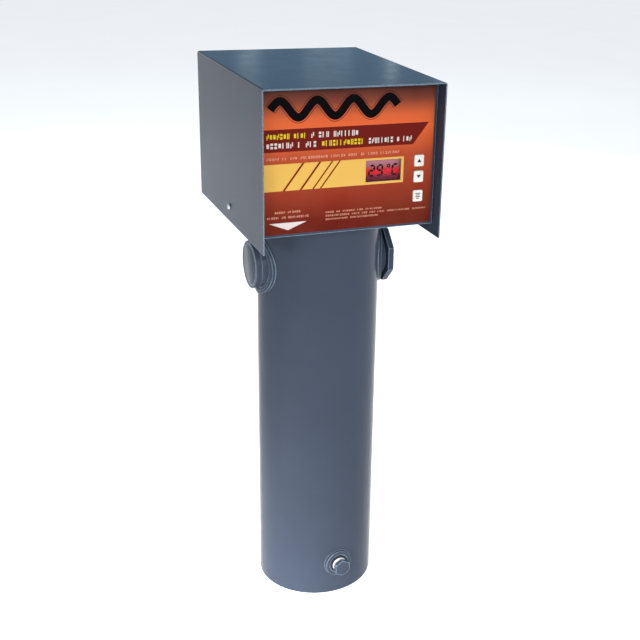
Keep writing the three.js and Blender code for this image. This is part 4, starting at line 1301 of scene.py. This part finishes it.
def studio():
    world = bpy.data.worlds.new("studio")
    world.use_nodes = True
    sky = world.node_tree.nodes["Background"].inputs
    sky["Color"].default_value = SKY_COLOUR
    sky["Strength"].default_value = SKY_STRENGTH
    bpy.context.scene.world = world
    bpy.context.scene.view_settings.view_transform = "Standard"

    reach = 60
    corners = [(-reach, -reach, 0), (reach, -reach, 0), (reach, reach, 0), (-reach, reach, 0)]
    floor = mesh_object("floor", corners, [(0, 1, 2, 3)])
    floor.data.materials.append(floor_finish())
    aim = (0, 0, 0.45)
    add_area("overhead_softbox", (0.0, 0.9, 3.4), (0, 0.9, 0), (5.0, 5.0), 26)
    add_area("front_light", (0.7, -3.1, 1.7), aim, (1.6, 1.2), 42)
    add_area("rear_fill_right", (2.1, 1.8, 1.2), aim, (1.0, 1.0), 14)
    add_area("rear_fill_left", (-0.9, 3.0, 1.3), aim, (1.0, 1.0), 5)
    add_area("side_fill", (2.6, -0.1, 1.1), aim, (1.2, 1.2), 12)
    add_area("foot_light", (-1.5, -1.5, 1.0), (-0.12, 0, 0), (0.5, 0.5), 1.7, spread=34)
    add_area("low_left_light", (-2.2, -0.9, 0.8), (-0.1, 0, -0.12), (0.3, 0.3), 0.9, spread=16)
    card = (1.5, STRIP_DISTANCE + 0.3, 1.6)
    add_area("back_card", card, (0.4, 0, STRIP_AIM), (3.4, 1.2), 4.2, (0.34, 0.7, 1))
    for x, width, power in STRIPS:
        place = (x, STRIP_DISTANCE, STRIP_MIDDLE)
        add_area("strip_light", place, (x / 4, 0, STRIP_AIM), (width, 0.5), power, STRIP_COLOUR)


# ---------------- the whole scene

# Red, green and blue from 0 to 255.
INKS = {
    "dark_red_ink": (128, 30, 20), "key_ink": (60, 20, 35), "black_ink": (8, 6, 8),
    "pale_ink": (226, 214, 208), "gold_ink": (236, 186, 92), "maroon_ink": (112, 30, 22),
    "brown_ink": (70, 26, 18), "yellow_ink": (228, 200, 40), "faint_ink": (214, 150, 124),
}
# The same, and the roughness.
MOULDED = {
    "rubber": (30, 31, 33, 0.75), "black_plastic": (38, 39, 42, 0.5), "red_plastic": (170, 34, 26, 0.4),
    "cream_plastic": (250, 246, 236, 0.42), "winding_tape": (206, 156, 62, 0.4),
    "relay_blue": (44, 92, 160, 0.35), "lead_black": (24, 24, 26, 0.55), "lead_red": (140, 28, 24, 0.55),
    "lead_grey": (142, 144, 146, 0.55),
}
# The same, and how far the roughness varies.
METALS = {
    "zinc": (232, 235, 240, 0.42, 0.08), "steel": (150, 152, 155, 0.4, 0.08),
    "brass": (196, 158, 92, 0.3, 0.07), "copper": (190, 112, 74, 0.3, 0.07),
}


def make_finishes():
    """Fills the table of finishes: one for each slot, the inks, and the few that share a slot."""
    label_low, label_high = span("front_label", "Z")
    panel_low, panel_high = span("display_panel", "Z")
    FINISHES.update({
        "paint": powder_coat(),
        "label_film": label_film(label_low * MM, label_high * MM),
        "clear_window": clear_window(),
        "display_film": display_glow(panel_low * MM, panel_high * MM),
        "board": circuit_board(),
        "gasket": moulded("gasket", srgb(62, 64, 67), 0.85, 700),
        "tape_and_painted_glint": tape_and_painted_glint(),
    })
    for name, (*colour, roughness, spread) in METALS.items():
        FINISHES[name] = plated(name, srgb(*colour), roughness, spread)
    for name, (*colour, roughness) in MOULDED.items():
        FINISHES[name] = moulded(name, srgb(*colour), roughness)
    for name, colour in INKS.items():
        FINISHES[name] = ink(name, srgb(*colour))


def build():
    make_finishes()
    tank()
    for fitting in (saddle, stub):
        fitting("inlet", INLET)
        fitting("outlet", OUTLET)
    inlet_cap()
    outlet_plug()
    drain()
    hood()
    hood_screw("left", -1)
    hood_screw("right", 1)

    label()
    gold_band()
    maroon_band()
    ribbon("wave_mark", 0, WAVE["half"], "black_ink")
    ribbon("wave_rim", WAVE["rim_inner"], WAVE["rim_outer"], "brown_ink")
    reset_arrow()
    for row in PRINT_ROWS:
        print_ticks(*row)
    for node in KEYS:
        key(node)
    display()

    transformer()
    contactor_fittings()
    terminal_fittings()
    board()
    limit_tabs()
    pressure_dial()
    remaining()
    studio()
    add_camera()


build()
